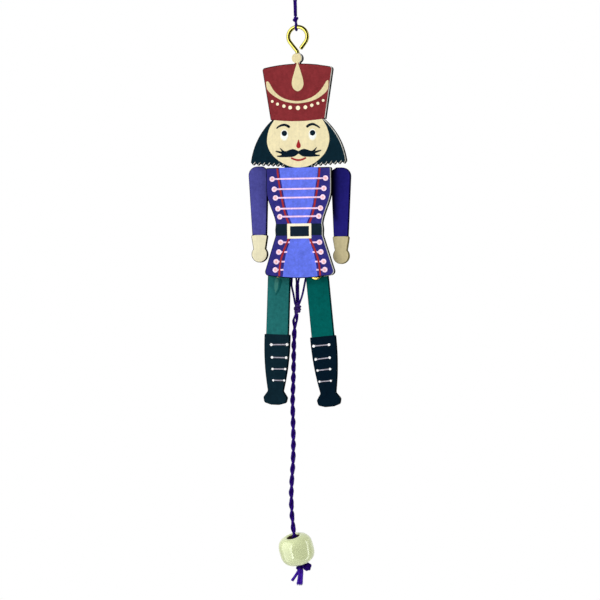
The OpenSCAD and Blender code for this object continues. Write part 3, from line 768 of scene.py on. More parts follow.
# the knot under the bead lies along the bead's own cross axis
beadTilt = {"nod": 18.5, "lean": 11.0, "place": (-5.4, 8.7, -283.5)}
beadNod = Matrix.Rotation(math.radians(beadTilt["nod"]), 3, "X")
beadTurn = Matrix.Rotation(-math.radians(beadTilt["lean"]), 3, "Y") @ beadNod


def onBead(x, y, z):
    return Vector(beadTilt["place"]) + beadTurn @ Vector((x, y, z))


crossAxis = beadTurn @ Vector((1, 0, 0))
endKnot = knotPiece("endKnot", "pull", ("end_knot",), [
    {"centre": onBead(0.1, 0, -9.7), "axis": crossAxis, "radius": 1.05, "length": 4.4, "turns": 2.6,
     "start": 1.0, "strand": 1.5, "lean": 0.35},
    {"centre": onBead(3.0, 0, -10.45), "axis": crossAxis + Vector((0.2, 0, -0.9)), "radius": 1.15,
     "length": 1.7, "turns": 2.1, "start": 0.2, "strand": 2.1, "lean": 0.25},
    {"centre": onBead(0.2, 0, -9.7), "axis": crossAxis, "radius": 0.4, "length": 5.2, "turns": 0.9,
     "start": 0.2, "strand": 1.6},
], thread)

# the cut ends of the cord; the leftmost, first in the routes, is the least frayed
tail = {
    "radius": 0.78,
    "flare": (0.06, 0.2, 0.2),
    "fibres": (4, 7, 7),
    "fibreReach": ((0.1, 0.3), (0.4, 0.75), (0.4, 0.75)),
    "fibreSpread": (1.0, 1.6, 1.6),
    "fibreWidth": 0.13,
}


def fray(mesh, line, index):
    # single fibres spread out from the cut
    end, out = line[-1], (line[-1] - line[-4]).normalized()
    count, spread = tail["fibres"][index], tail["fibreSpread"][index]
    for k in range(count):
        angle = 2 * math.pi * k / count + random.uniform(-0.4, 0.4)
        aside = Vector((math.cos(angle), 0.6 * math.sin(angle), 0)) * random.uniform(0.3, 0.6)
        reach = random.uniform(*tail["fibreReach"][index])
        points = [end - out * 0.5 + aside * 0.5, end + aside * 0.9, end + out * reach + aside * spread]
        fibre = evenly(throughPoints(points, 5), 0.12)
        addTube(mesh, fibre, lambda t: tail["fibreWidth"] * (1 - 0.55 * t), 6)


tailMesh = bmesh.new()
for index, route in enumerate(tailRoutes):
    line = routeLine(route)
    flare = tail["flare"][index]
    addTube(tailMesh, line, lambda t: tail["radius"] + flare * t * t, 14, cord["plies"], 2.4, 0.2, index)
    fray(tailMesh, line, index)
cordTails = finishPiece("cordTails", tailMesh, tailThread, "pull", ("cord_ends",))
print("cords and knots ready")


# bead

bead = {
    "width": 17.5,
    "height": 15.2,
    "squareness": 3.0,
    "bore": 6.0,
    "mouth": 1.2,  # radius of the rounding at the bore's ends
    "bareRim": 0.15,  # the lacquer starts this far outside the bore
    "segments": 96,
    "mouthSteps": 8,
    "sideSteps": 40,
}


def turned(profile, segments, place=lambda p: p):
    # a closed profile of (radius, height) turned round the axis
    mesh = bmesh.new()
    rings = []
    for k in range(segments):
        angle = 2 * math.pi * k / segments
        rings.append([mesh.verts.new(place(Vector((r * math.cos(angle), r * math.sin(angle), z))) * 0.001)
                      for r, z in profile])
    count = len(profile)
    for k in range(segments):
        a, b = rings[k], rings[(k + 1) % segments]
        for i in range(count):
            j = (i + 1) % count
            mesh.faces.new((a[i], b[i], b[j], a[j])).smooth = True
    bmesh.ops.recalc_face_normals(mesh, faces=mesh.faces)
    return mesh


def addMesh(mesh, other):
    # moves what the other mesh holds into this one
    data = bpy.data.meshes.new("turnedPart")
    other.to_mesh(data)
    other.free()
    mesh.from_mesh(data)
    bpy.data.meshes.remove(data)


def beadProfile():
    half, power, mouth = bead["width"] / 2, bead["squareness"], bead["mouth"]
    rim = bead["bore"] / 2 + mouth
    rimHeight = bead["height"] / 2 * (1 - (rim / half) ** power) ** (1 / power)
    upper, side, lower = [], [], []
    for i in range(bead["mouthSteps"] + 1):
        share = 90 * i / bead["mouthSteps"]
        angle = math.radians(180 - share)
        upper.append((rim + mouth * math.cos(angle), rimHeight - mouth + mouth * math.sin(angle)))
        angle = math.radians(-90 - share)
        lower.append((rim + mouth * math.cos(angle), -rimHeight + mouth + mouth * math.sin(angle)))
    first = math.acos((rim / half) ** (power / 2))
    for i in range(1, bead["sideSteps"]):
        angle = first * (1 - 2 * i / bead["sideSteps"])
        height = bead["height"] / 2 * abs(math.sin(angle)) ** (2 / power)
        side.append((half * math.cos(angle) ** (2 / power), math.copysign(height, angle)))
    return upper + side + lower


beadMesh = turned(beadProfile(), bead["segments"], lambda p: onBead(*p))
beadPlace, beadAxis = Vector(beadTilt["place"]), beadTurn @ Vector((0, 0, 1))
for face in beadMesh.faces:
    # no lacquer reached the bore
    offset = face.calc_center_median() * 1000 - beadPlace
    if (offset - beadAxis * offset.dot(beadAxis)).length < bead["bore"] / 2 + bead["bareRim"]:
        face.material_index = 1
beadPiece = finishPiece("lacqueredBead", beadMesh, [lacquer, wood["bore"]], "bead", ("bead",))

cordLengths = [round(lineLength(line), 2) for line in (pullLine, leftArmLine, rightArmLine, loopLine)]
print("bead ready; lengths of the pull cord, the arm strings and the hanging loop:", *cordLengths)


# screw eye

eye = {
    "wire": 2.0,
    "radius": 4.85,
    "centre": -26.1,
    "neck": 7.9,  # from the ring's centre down to the elbow
    "freeShare": 0.62,  # how much of the way down to the elbow the wire's free end runs
    "intoBend": (1.25, 0.9, 0.55),  # points on the other side's way into the bend, as lengths from the elbow
    "bend": ((-0.2, 0, -0.15), (-0.03, 0, -0.75)),  # the points after them, from the elbow
    "shankEnd": -36.95,
    "screw": 1.7,
    "screwFoot": -48.73,
    "taper": 1.7,
    "threadTop": -40,
    "threadPitch": 1.1,
    "threadDepth": 0.12,
}
axisGap = 0.001  # a turned profile ends this near its axis


def eyeWire():
    slope = math.degrees(math.asin(eye["radius"] / eye["neck"]))
    branch = math.sqrt(eye["neck"] ** 2 - eye["radius"] ** 2)
    centre, elbow = Vector((0, 0, eye["centre"])), Vector((0, 0, eye["centre"] - eye["neck"]))
    right = Vector((math.sin(math.radians(slope)), 0, math.cos(math.radians(slope)))) * branch
    points = [elbow + right * (1 - eye["freeShare"]), elbow + right * 0.85]
    for i in range(29):
        angle = math.radians(-slope + (180 + 2 * slope) * i / 28)
        points.append(Vector((math.cos(angle), 0, math.sin(angle))) * eye["radius"] + centre)
    into = Vector((-right.x, 0, right.z)).normalized()
    points += [elbow + into * reach for reach in eye["intoBend"]]
    points += [elbow + Vector(step) for step in eye["bend"]]
    points.append(Vector((0, 0, eye["shankEnd"])))
    return evenly(throughPoints(points, 6), 0.15)


def screwProfile():
    # the screw in the hat, with its thread as a fine ridge
    foot, depth = eye["screwFoot"], eye["threadDepth"]
    profile = [(axisGap, foot)]
    for i in range(1, 61):
        height = foot + (eye["shankEnd"] - foot) * i / 60
        wave = 0.5 + 0.5 * math.cos(2 * math.pi * height / eye["threadPitch"])
        ridge = depth * wave if height < eye["threadTop"] else 0
        taper = min(1.0, (height - foot) / eye["taper"])
        profile.append(((eye["screw"] / 2 - depth + ridge) * taper, height))
    return profile + [(axisGap, height)]


eyeMesh = bmesh.new()
addTube(eyeMesh, eyeWire(), eye["wire"] / 2, 48, domed=True)
addMesh(eyeMesh, turned(screwProfile(), 20))
brassEye = finishPiece("brassEye", eyeMesh, brass, "figure", ("screw_eye",))


# washers and pins behind the plate

pivots = {
    "leftShoulder": (-13.25, -97.6),
    "rightShoulder": (11.75, -98.9),
    "leftHip": (-11.7, -143.4),
    "rightHip": (7.6, -144.7),
}
washer = {"bore": 1.02, "radius": 3.15, "front": 2.0, "back": 3.0, "ease": 0.18}
pin = {
    "radius": 1.0,
    "end": -1.0,  # in its blind hole
    "endEase": 0.15,
    "head": 2.2,
    "headFront": 6.2,
    "headEase": 0.12,
    "rim": 0.2,  # height of the head's edge, under the dome
    "headHeight": 1.0,
}


def behind(x, z):
    # a turned piece's axis points back through the plates
    return lambda p: Vector((x + p.x, p.z, z - p.y))


def onEachPivot(name, profile, segments, node):
    mesh = bmesh.new()
    for x, z in pivots.values():
        addMesh(mesh, turned(profile, segments, behind(x, z)))
    piece = finishPiece(name, mesh, pinBrass, "figure", (node,))


def washerProfile():
    inner, outer, low, high, ease = [washer[key] for key in ("bore", "radius", "front", "back", "ease")]
    cut = ease * 0.3
    return [(inner, low + ease), (inner + ease, low), (outer - ease, low), (outer - cut, low + cut),
            (outer, low + ease), (outer, high - ease), (outer - cut, high - cut), (outer - ease, high),
            (inner + ease, high), (inner, high - ease)]


def pinProfile():
    radius, end, head, front = pin["radius"], pin["end"], pin["head"], pin["headFront"]
    profile = [(axisGap, end), (radius - pin["endEase"], end), (radius, end + pin["endEase"]),
               (radius, front), (head - pin["headEase"], front), (head, front + pin["headEase"])]
    dome = pin["headHeight"] - pin["rim"]
    bend = (head ** 2 + dome ** 2) / 2 / dome
    for i in range(11):
        reach = max(head * (1 - i / 10), axisGap)
        profile.append((reach, front + pin["rim"] + math.sqrt(bend ** 2 - reach ** 2) - (bend - dome)))
    return profile


onEachPivot("pivotWashers", washerProfile(), 64, "pivot_washers")
onEachPivot("pivotPins", pinProfile(), 48, "pivot_pins")
print("brass parts ready")


# plates

plate = {
    "arris": 0.28,
    "frontArris": 0.38,
    "arrisSteps": 2,
    "facing": 0.95,  # how square to the front a face lies to count as front or back
    "crease": 38.0,
}


def easeRims(mesh, front, back, arris):
    # the edges round the front and the back are eased
    rims = []
    for edge in mesh.edges:
        onRim = any(all(abs(v.co.y - level) < 1e-6 for v in edge.verts) for level in (front, back))
        if onRim and len(edge.link_faces) == 2:
            flatness = [abs(side.normal.y) for side in edge.link_faces]
            if max(flatness) > 0.9 and min(flatness) < 0.2:
                rims.append(edge)
    bmesh.ops.bevel(mesh, geom=rims, offset=arris * 0.001, segments=plate["arrisSteps"], profile=0.5,
                    affect="EDGES", clamp_overlap=False)


def platePiece(name, node, body, cuts, regions, highlightSide=False, arris=plate["arris"]):
    # the CAD plate with eased edges; its front is cut along straight lines into painted regions
    # with the side flag set, the eased edges on the viewer's right are pale bare wood, a painted highlight;
    # the others stay dark
    mesh = bmesh.new()
    mesh.from_mesh(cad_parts[node].data)
    bmesh.ops.remove_doubles(mesh, verts=mesh.verts, dist=1e-6)
    bmesh.ops.dissolve_limit(mesh, angle_limit=math.radians(0.3), verts=mesh.verts, edges=mesh.edges)
    mesh.normal_update()
    front, back = min(v.co.y for v in mesh.verts), max(v.co.y for v in mesh.verts)
    easeRims(mesh, front, back, arris)
    bmesh.ops.triangulate(mesh, faces=mesh.faces)
    for (x, height), (across, up) in cuts:
        everything = list(mesh.verts) + list(mesh.edges) + list(mesh.faces)
        bmesh.ops.bisect_plane(mesh, geom=everything, plane_co=mm(x, 0, height + drawing["zeroHeight"]),
                               plane_no=(across, 0, up), dist=1e-7)
    mesh.normal_update()
    materials = [wood["edge"], wood["darkArris"], wood["back"]] + [region[1] for region in regions]
    if highlightSide:
        materials.append(wood["highlightArris"])
    # the paint of the limbs goes round their edges
    edgeIndex = {}
    for number, region in enumerate(regions):
        if len(region) > 2:
            edgeIndex[number] = len(materials)
            materials.append(region[2])
    for face in mesh.faces:
        facing = face.normal.y
        centre = face.calc_center_median() * 1000
        height = centre.z - drawing["zeroHeight"]
        face.smooth = abs(facing) < plate["facing"]
        here = next(number for number, region in enumerate(regions) if region[0](centre.x, height))
        if facing < -plate["facing"] and abs(centre.y - front * 1000) < 0.05:
            face.material_index = 3 + here
        elif facing > plate["facing"]:
            face.material_index = 2
        elif facing < -0.1 and highlightSide and face.normal.x > 0.12:
            face.material_index = 3 + len(regions)
        else:
            face.material_index = edgeIndex.get(here, 1 if facing < -0.1 else 0)
    for edge in mesh.edges:
        if len(edge.link_faces) == 2 and edge.calc_face_angle(0) > math.radians(plate["crease"]):
            edge.smooth = False
    piece = finishPiece(name, mesh, materials, body, (node,))


def above(height):
    return lambda x, h: h > height


def shortOf(place, along):
    return lambda x, h: (x - place[0]) * along[0] + (h - place[1]) * along[1] < 0


def anywhere(x, h):
    return True


flat = (0, 1)
colourEnds = {"pompom": 118.95, "brim": 90.4, "shoulder": 66.3, "waist": 38.15, "beltEnd": 32.3}
cuts = [((0, height), flat) for height in colourEnds.values()]
platePiece("frontPlate", "front_plate", "figure", cuts, [
    (above(colourEnds["pompom"]), wood["edge"]),
    (above(colourEnds["brim"]), ink["hatRed"]),
    (above(colourEnds["shoulder"]), ink["hairTeal"]),
    (above(colourEnds["waist"]), ink["jacketViolet"]),
    (above(colourEnds["beltEnd"]), ink["beltTeal"]),
    (anywhere, ink["jacketViolet"]),
], True, plate["frontArris"])

cuffs = {"left": (32.9, "darkGloveEdge"), "right": (31.6, "paleGloveEdge")}
# each arm takes its side's copies of the sleeve and glove paints: lighter on the left as a painted sheen,
# darker on the right as painted shading
for side, (cuff, gloveEdge) in cuffs.items():
    arm = side + "_arm"
    platePiece(side + "ArmPlate", arm, arm, [((0, cuff), flat)], [
        (above(cuff), ink[side + "Sleeve"], wood["sleeveEdge"]),
        (anywhere, ink[side + "Glove"], wood[gloveEdge]),
    ])

# a boot's top lies square to its leg
bootTop = 31.75
legs = {"left": {"outward": -1, "splay": 2.4}, "right": {"outward": 1, "splay": 5.0}}
# each leg takes its side's copies of the trouser and boot paints: lighter on the left as a painted sheen,
# darker on the right as painted shading
for side, leg in legs.items():
    body, splay = side + "_leg", math.radians(leg["splay"])
    along = (leg["outward"] * math.sin(splay), -math.cos(splay))
    hip = pivots[side + "Hip"]
    top = (hip[0] + bootTop * along[0], hip[1] - drawing["zeroHeight"] + bootTop * along[1])
    platePiece(side + "LegPlate", body, body, [(top, along)], [
        (shortOf(top, along), ink[side + "Trouser"], wood["trouserEdge"]),
        (anywhere, ink[side + "Boot"], wood["bootEdge"]),
    ])
print("plates ready")


# printed decoration: thin layers of ink on the fronts

frontFace = -2.0
limbFace = 3.1


def printed(name, outlines, layer, material, body="figure", level=frontFace):
    # closed outlines of (x, height), each a thin layer that stands out from the wood
    mesh = bmesh.new()
    out, foot = level - drawing["firstCoat"] - drawing["nextCoat"] * layer, level + drawing["coatFoot"]
    for outline in outlines:
        area = sum(a[0] * b[1] - b[0] * a[1] for a, b in zip(outline, outline[1:] + outline[:1]))
        points = outline if area > 0 else list(reversed(outline))
        near = [mesh.verts.new(mm(x, out, h + drawing["zeroHeight"])) for x, h in points]
        far = [mesh.verts.new(mm(x, foot, h + drawing["zeroHeight"])) for x, h in points]
        mesh.faces.new(near)
        mesh.faces.new(list(reversed(far)))
        for k in range(len(points)):
            j = (k + 1) % len(points)
            mesh.faces.new((near[k], far[k], far[j], near[j]))
    mesh.normal_update()
    bmesh.ops.triangulate(mesh, faces=[side for side in mesh.faces if len(side.verts) > 4])
    piece = finishPiece(name, mesh, material, body)


def disc(x, h, radius, tall=1.0, count=36):
    turns = [2 * math.pi * k / count for k in range(count)]
    return [(x + radius * math.cos(turn), h + radius * tall * math.sin(turn)) for turn in turns]


def flowing(points, steps=5, closed=True):
    return [tuple(p) for p in throughPoints([Vector(p) for p in points], steps, closed)]


def band(points, widths, steps=6):
    # a strip along a line; widths is one number or one for each point
    if isinstance(widths, (int, float)):
        widths = [widths] * len(points)
    line = throughPoints([Vector(p) for p in points], steps)
    left, right = [], []
    for i, point in enumerate(line):
        at = min(i / steps, len(points) - 1)
        k = min(int(at), len(points) - 2)
        half = (widths[k] + (widths[k + 1] - widths[k]) * (at - k)) / 2
        ahead = (line[min(i + 1, len(line) - 1)] - line[max(i - 1, 0)]).normalized()
        aside = Vector((-ahead.y, ahead.x)) * half
        left.append(tuple(point + aside))
        right.append(tuple(point - aside))
    return left + list(reversed(right))


def bothSides(half, axis):
    # an outline from its right half, which starts and ends on the axis
    right = [(axis + x, h) for x, h in half]
    left = [(axis - x, h) for x, h in reversed(half) if x > 0]
    return right + left


# hat
hatPrint = {
    "pompom": (-0.28, 120.95, 2.46),
    "plumeAxis": 0.15,
    "plume": [(0, 118.9), (0.65, 117.3), (1.7, 114.0), (2.75, 110.4), (2.97, 107.9), (2.3, 105.9),
              (1.05, 104.75), (0, 104.4)],
    "swagTop": [(-16.05, 109.1), (-15.7, 109.6), (-15.1, 109.6), (-14.3, 108.8), (-13.0, 106.3),
                (-11.4, 104.2), (-9.0, 102.1), (-6.5, 100.8), (-3.3, 99.85), (0.2, 99.5), (3.3, 99.85),
                (6.2, 100.8), (8.7, 102.0), (11.5, 104.3), (13.1, 106.3), (14.7, 108.8), (15.3, 109.4),
                (15.95, 109.1)],
    "swagFoot": [(15.7, 105.6), (14.7, 103.9), (13.0, 102.4), (10.6, 100.75), (7.4, 99.4), (3.3, 98.6),
                 (0.2, 98.35), (-3.3, 98.65), (-6.6, 99.4), (-9.0, 100.45), (-11.4, 101.85), (-13.1, 103.1),
                 (-14.9, 104.8), (-15.75, 106.3)],
    "dots": [(-13.0, 99.6, 0.7), (-10.3, 98.2, 0.75), (-7.0, 97.1, 0.85), (-3.8, 96.3, 0.95),
             (0.2, 96.05, 1.1), (4.0, 96.3, 0.95), (7.3, 97.2, 0.85), (10.4, 98.1, 0.75), (13.15, 99.5, 0.7)],
    "brimHalf": 13.6,
    "brimTop": 90.6,
    "brimFoot": 89.45,
    "brimRise": 1.0,  # how much higher its foot is at the sides
}
printed("pompomFace", [disc(*hatPrint["pompom"])], 0, ink["plumeCream"])
plume = bothSides(hatPrint["plume"], hatPrint["plumeAxis"])
printed("hatPlume", [flowing(plume, 4)], 1, ink["plumeCream"])
printed("hatSwag", [flowing(hatPrint["swagTop"] + hatPrint["swagFoot"], 4)], 1, ink["plumeCream"])
printed("hatDots", [disc(*dot) for dot in hatPrint["dots"]], 1, ink["dotCream"])
brim = [(x, hatPrint["brimTop"]) for x in (hatPrint["brimHalf"], -hatPrint["brimHalf"])]
for i in range(17):
    x = -hatPrint["brimHalf"] + 2 * hatPrint["brimHalf"] * i / 16
    brim.append((x, hatPrint["brimFoot"] + hatPrint["brimRise"] * (x / hatPrint["brimHalf"]) ** 2))
printed("hatBrim", [brim], 3, ink["hatRed"])

# face
facePrint = {
    "jaw": [(-11.9, 90.4), (-14.5, 86.35), (-15.79, 81.59), (-15.63, 77.6), (-13.83, 73.58), (-10.59, 70.32),
            (-6.12, 67.64), (-2.5, 66.5), (0.2, 66.28), (3.0, 66.45), (5.6, 67.1), (9.41, 69.11),
            (13.53, 72.99), (15.6, 77.31), (16.1, 81.27), (14.9, 86.06), (12.5, 90.4)],
    "leftBrow": [(-10.95, 85.95), (-9.5, 87.1), (-7.2, 87.75), (-5.4, 87.25), (-4.6, 86.75)],
    "rightBrow": [(11.3, 85.8), (9.8, 86.95), (7.6, 87.8), (5.75, 87.3), (4.95, 86.75)],
    "browWidths": [0.6, 0.95, 1.2, 1.3, 1.3],
    "browEnds": [(-4.6, 86.72, 0.66), (4.95, 86.72, 0.66)],
    "eyeHalos": [(-6.95, 82.55, 2.1, 1.4), (7.5, 82.5, 2.1, 1.4)],
    "eyeWhites": [(-6.95, 82.75, 1.75, 1.45), (7.5, 82.7, 1.75, 1.45)],
    "pupils": [(-6.9, 83.5, 1.4), (7.55, 83.45, 1.4)],
    "pupilLights": [(-6.9, 83.5, 0.5), (7.55, 83.45, 0.5)],
    "noseAxis": 0.3,
    "nose": [(0, 80.3), (0.45, 79.2), (1.15, 77.4), (0.85, 76.3), (0, 75.85)],
    "moustache": [(0, 74.45), (0.7, 74.75), (1.5, 75.25), (2.9, 75.55), (4.5, 75.2), (6.04, 74.55),
                  (6.93, 74.5), (7.94, 75.05), (8.7, 75.75), (9.55, 76.35), (9.45, 75.95), (8.95, 75.1),
                  (8.6, 74.35), (9.9, 74.65), (11.55, 74.9), (11.8, 74.5), (10.9, 74.05), (9.8, 73.6),
                  (8.6, 73.15), (8.7, 72.8), (9.6, 72.5), (10.9, 72.4), (10.95, 71.8), (9.0, 71.6),
                  (6.5, 71.5), (3.3, 71.58), (1.9, 71.95), (1.0, 72.5), (0, 73.23)],
    "mouth": [(-3.6, 71.1), (-1.7, 70.3), (0.25, 69.93), (2.3, 70.27), (4.05, 71.1)],
    "mouthWidths": [0.8, 0.9, 0.95, 0.9, 0.8],
}
printed("faceDisc", [flowing(facePrint["jaw"], closed=False)], 2, ink["faceCream"])
brows = [band(facePrint[key], facePrint["browWidths"]) for key in ("leftBrow", "rightBrow")]
printed("brows", brows + [disc(*end) for end in facePrint["browEnds"]], 3, ink["lineTeal"])
eyeLayers = {"eyeHalos": "eyeHalo", "eyeWhites": "eyeWhite", "pupils": "lineTeal", "pupilLights": "pupilTeal"}
for layer, (name, colour) in enumerate(eyeLayers.items()):
    printed(name, [disc(*spot) for spot in facePrint[name]], 3 + layer, ink[colour])
printed("nose", [flowing(bothSides(facePrint["nose"], facePrint["noseAxis"]), 6)], 3, ink["noseRed"])
printed("moustache", [bothSides(facePrint["moustache"], drawing["printAxis"])], 4, ink["lineTeal"])
printed("mouth", [band(facePrint["mouth"], facePrint["mouthWidths"])], 3, ink["lipRed"])


def sidePair(points, axis, width):
    # a line on each side of an axis
    return [band([(axis + side * x, h) for x, h in points], width) for side in (1, -1)]


def panelOutline(half, axis, foot=()):
    # a panel from its right side and, for a curved one, the points along its foot
    side = flowing(half, closed=False)
    right = [(axis + x, h) for x, h in side + list(foot)]
    return right + [(axis - x, h) for x, h in reversed(side)]


# jacket, with its buttons in pairs of left and right
jacketPrint = {
    "panel": [(9.95, 66.25), (9.45, 61.5), (8.5, 56.5), (7.8, 52.0), (6.95, 47.4), (5.5, 42.5), (3.7, 38.0)],
    "stripe": [(10.85, 65.95), (10.35, 60.6), (9.5, 55.4), (8.65, 50.7), (7.2, 43.7), (5.2, 38.0)],
    "stripeAxis": 0.1,
    "stripeWidth": 0.9,
    "barWidth": 0.8,
    "buttons": [((-13.43, 60.7), (13.92, 60.7)), ((-12.41, 55.6), (13.04, 55.6)),
                ((-11.84, 51.25), (12.43, 51.25)), ((-10.62, 45.8), (11.19, 45.8)),
                ((-9.69, 41.8), (10.27, 41.8))],
}
printed("jacketPanel", [panelOutline(jacketPrint["panel"], drawing["printAxis"])], 0, ink["panelBlue"])
stripes = sidePair(jacketPrint["stripe"], jacketPrint["stripeAxis"], jacketPrint["stripeWidth"])
printed("jacketStripes", stripes, 1, ink["stripeRed"])
bars = [band(pair, jacketPrint["barWidth"], 2) for pair in jacketPrint["buttons"]]
printed("frogBars", bars, 2, ink["frogPink"])

# belt and buckle
buckle = {
    "outer": [(-5.97, 30.75), (6.36, 30.75), (6.36, 38.25), (-5.97, 38.25)],
    "inner": [(-4.5, 31.85), (5.19, 31.85), (5.19, 36.95), (-4.5, 36.95)],
    "belt": [(-4.6, 31.75), (5.3, 31.75), (5.3, 37.05), (-4.6, 37.05)],
}
outer, inner = buckle["outer"], buckle["inner"]
frameBars = [[outer[k], outer[(k + 1) % 4], inner[(k + 1) % 4], inner[k]] for k in range(4)]
printed("buckle", frameBars, 3, ink["buckleCream"])
printed("buckleBelt", [buckle["belt"]], 2, ink["beltTeal"])

# skirt, with its buttons and the inner ends of their stubs
skirtPrint = {
    "panel": [(4.5, 32.3), (4.75, 30.6), (5.4, 28.5), (6.65, 25.0), (7.8, 20.3), (8.6, 15.4), (8.9, 11.75)],
    "hemHalf": 8.9,
    "hemFoot": 11.3,
    "hemBow": 196,  # the hem rises by the square of the way from its middle over this
    "stripe": [(5.2, 31.2), (6.3, 28.7), (8.0, 24.8), (9.4, 20.7), (10.2, 16.4), (10.5, 12.1)],
    "stripeAxis": 0.15,
    "stripeWidth": 0.95,
    "barWidth": 0.8,
    "stubs": [((-9.43, 28.95), (-4.75, 28.95)), ((-10.41, 24.1), (-6.1, 24.1)),
              ((-11.81, 19.3), (-7.4, 19.3)), ((-12.32, 15.2), (-8.1, 15.2)),
              ((10.53, 28.75), (5.5, 28.75)), ((11.14, 23.9), (6.9, 23.9)),
              ((12.52, 19.1), (8.1, 19.1)), ((13.08, 15.0), (8.7, 15.0))],
}
hem = []
for i in range(1, 16):
    x = skirtPrint["hemHalf"] - 2 * skirtPrint["hemHalf"] * i / 16
    hem.append((x, skirtPrint["hemFoot"] + x ** 2 / skirtPrint["hemBow"]))
printed("skirtPanel", [panelOutline(skirtPrint["panel"], drawing["skirtAxis"], hem)], 0, ink["panelBlue"])
stubs = [band(pair, skirtPrint["barWidth"], 2) for pair in skirtPrint["stubs"]]
printed("skirtStubs", stubs, 1, ink["frogPink"])
stripes = sidePair(skirtPrint["stripe"], skirtPrint["stripeAxis"], skirtPrint["stripeWidth"])
printed("skirtStripes", stripes, 2, ink["stripeRed"])

button = {"radius": 1.35, "centre": 0.6}
buttonPlaces = [place for pair in jacketPrint["buttons"] for place in pair]
buttonPlaces += [stub[0] for stub in skirtPrint["stubs"]]
printed("buttons", [disc(x, h, button["radius"]) for x, h in buttonPlaces], 3, ink["buttonPink"])
printed("buttonCentres", [disc(x, h, button["centre"]) for x, h in buttonPlaces], 4, ink["buttonPeach"])

# laces, and a darker and a paler patch on the left trouser leg
lacePrint = {
    "left": [((-16, -22.3), (-7.9, -22.3)), ((-15.7, -28.7), (-8.4, -28.9)), ((-15.5, -34.5), (-9, -34.6)),
             ((-15.2, -40.2), (-9.6, -40.3))],
    "right": [((5.8, -23.2), (13.7, -22.5)), ((6.8, -29.85), (13.95, -29)), ((7.7, -35.4), (14.1, -34.7)),
              ((8.6, -41), (14.4, -40.6))],
    "width": 0.55,
    "eyelet": 0.69,
    "eyeletShrink": 0.05,  # each lower row has smaller eyelets
}
for side in ("left", "right"):
    legBody = side + "_leg"
    rows = lacePrint[side]
    bars = [band(row, lacePrint["width"], 2) for row in rows]
    printed(side + "LaceBars", bars, 1, ink["laceGrey"], legBody, limbFace)
    eyelets = []
    for number, row in enumerate(rows):
        radius = lacePrint["eyelet"] - lacePrint["eyeletShrink"] * number
        eyelets += [disc(x, h, radius) for x, h in row]
    printed(side + "LaceEyelets", eyelets, 2, ink["laceWhite"], legBody, limbFace)
trouserPatches = {
    "palePatch": [(-12.6, 10.9), (-12.0, 9.7), (-12.15, 7.65), (-12.6, 5.65), (-13.45, 3.9), (-13.85, 4.4),
               (-14.1, 6.7), (-13.9, 9.2), (-13.45, 10.9)],
    "darkPatch": [(-11.2, 10.9), (-10.2, 10.1), (-10.6, 7.6), (-11.4, 5.4), (-12.6, 3.35), (-13.55, 2.65),
              (-12.35, 4.9), (-11.65, 7.15), (-11.5, 9.15)],
}
printed("trouserDarkPatch", [flowing(trouserPatches["darkPatch"], 4)], 0, ink["darkTrouser"], "left_leg", limbFace)
printed("trouserPalePatch", [flowing(trouserPatches["palePatch"], 4)], 1, ink["paleTrouserPatch"], "left_leg", limbFace)
print("decoration ready")


# stage

stage = {
    "floorHeight": -1150.0,
    "floorRadius": 800.0,
    "glow": 1.13,
    "glowShare": 0.85,  # the rest is lit paper, which shows the toy's shadow
    "daylight": 0.45,  # the world's light on the toy
}
floorMesh = bmesh.new()
bmesh.ops.create_circle(floorMesh, cap_ends=True, segments=96, radius=stage["floorRadius"] * 0.001)
floorData = bpy.data.meshes.new("paleFloor")
floorMesh.to_mesh(floorData)
floorMesh.free()
floor = bpy.data.objects.new("paleFloor", floorData)
floor.location = mm(0, 0, stage["floorHeight"])
bpy.context.scene.collection.objects.link(floor)
material, tree, shader = newMaterial("palePaper", Base_Color=(0.9, 0.9, 0.9, 1), Roughness=0.9)
rays = addNode(tree, "ShaderNodeLightPath").outputs
seen = compute(tree, "MAXIMUM", rays["Is Camera Ray"], rays["Is Glossy Ray"])
seen = compute(tree, "MAXIMUM", seen, rays["Is Transmission Ray"])
glow = addNode(tree, "ShaderNodeEmission", {"Color": (1, 1, 1, 1), "Strength": stage["glow"]})
share = compute(tree, "MULTIPLY", seen, stage["glowShare"])
blend = addNode(tree, "ShaderNodeMixShader", {0: share, 1: shader.outputs[0], 2: glow.outputs[0]})
tree.links.new(blend.outputs[0], tree.nodes["Material Output"].inputs[0])
floorData.materials.append(material)

# the room that polished surfaces reflect: a white backdrop behind the toy, dimmer in front and on one side
room = {
    # between which directions the light changes, and from what strength to what: to the back, and to one side
    "front": (0.1, 0.95, 0.03, 1.0),
    "sideAxis": (0.97, -0.24, 0),
    "side": (0.62, 0.9, 1.0, 0.04),
    "bandEdge": 0.07,  # how softly a band of light ends at its sides and at its ends
    "bandFade": 0.14,
}
lightBands = {
    "window": {"azimuth": -62.0, "rise": -12.0, "half": 0.5, "reach": 0.3, "strength": 2.1},
    "leftStrip": {"azimuth": -21.5, "rise": -20.0, "half": 0.07, "reach": 0.6, "strength": 6.0},
    "rightStrip": {"azimuth": 97.5, "rise": -7.0, "half": 0.07, "reach": 0.6, "strength": 4.5},
}

world = bpy.data.worlds.new("studio")
bpy.context.scene.world = world
world.use_nodes = True
tree = world.node_tree
background = tree.nodes["Background"]
background.inputs["Color"].default_value = (1, 1, 1, 1)
rays = addNode(tree, "ShaderNodeLightPath").outputs
direction = addNode(tree, "ShaderNodeTexCoord").outputs["Generated"]


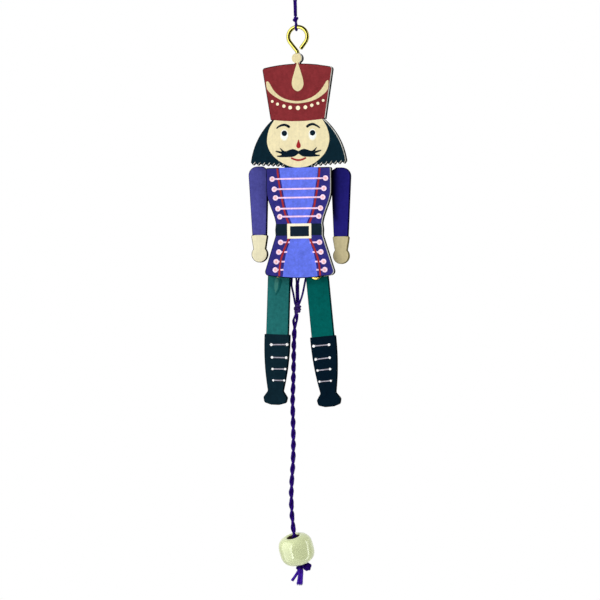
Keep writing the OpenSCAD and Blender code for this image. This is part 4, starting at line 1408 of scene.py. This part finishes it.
def lightBand(azimuth, rise, half, reach, strength):
    # an upright band of light, given by its direction seen from above and the height of its middle
    turn = math.radians(azimuth)
    aside = compute(tree, "ABSOLUTE", shareAlong(tree, direction, (math.cos(turn), math.sin(turn), 0)))
    across = mapRange(tree, aside, half, half + room["bandEdge"], strength, 0.0)
    ahead = shareAlong(tree, direction, towards(azimuth, rise))
    return compute(tree, "MULTIPLY", across, mapRange(tree, ahead, reach, reach + room["bandFade"]))


brightest = compute(tree, "MULTIPLY", mapRange(tree, partOf(tree, direction, "Y"), *room["front"]),
                    mapRange(tree, shareAlong(tree, direction, room["sideAxis"]), *room["side"]))
for lightStrip in lightBands.values():
    brightest = compute(tree, "MAXIMUM", brightest, lightBand(**lightStrip))
lit = mixed(tree, rays["Is Glossy Ray"], stage["daylight"], brightest)
direct = compute(tree, "MAXIMUM", rays["Is Camera Ray"], rays["Is Transmission Ray"])
tree.links.new(mixed(tree, direct, lit, 1.0), background.inputs["Strength"])

# the lamps don't show in reflections, which see the light bands instead
lamps = {
    "bigSoftbox": {"azimuth": -62.0, "rise": 12.0, "distance": 1000, "size": (1150, 1300), "power": 8.0},
    "sideStrip": {"azimuth": 94.0, "rise": -30.0, "distance": 820, "size": (110, 760), "power": 1.7},
    "leftStrip": {"azimuth": -22.0, "rise": -33.0, "distance": 800, "size": (110, 900), "power": 1.1},
    "frontFill": {"azimuth": 35.0, "rise": 28.0, "distance": 1700, "size": (500, 500), "power": 6.2},
    "topBox": {"azimuth": -20.0, "rise": 78.0, "distance": 900, "size": (500, 300), "power": 3.0},
}
for name, lamp in lamps.items():
    data = bpy.data.lights.new(name, "AREA")
    data.shape = "RECTANGLE"
    data.size, data.size_y = lamp["size"][0] * 0.001, lamp["size"][1] * 0.001
    data.energy = lamp["power"]
    light = bpy.data.objects.new(name, data)
    bpy.context.scene.collection.objects.link(light)
    light.visible_glossy = False
    away = towards(lamp["azimuth"], lamp["rise"])
    light.location = mm(0, 0, drawing["zeroHeight"]) + away * lamp["distance"] * 0.001
    light.rotation_euler = away.to_track_quat("Z", "Y").to_euler()
bpy.context.scene.view_settings.view_transform = "Standard"
print("stage ready")
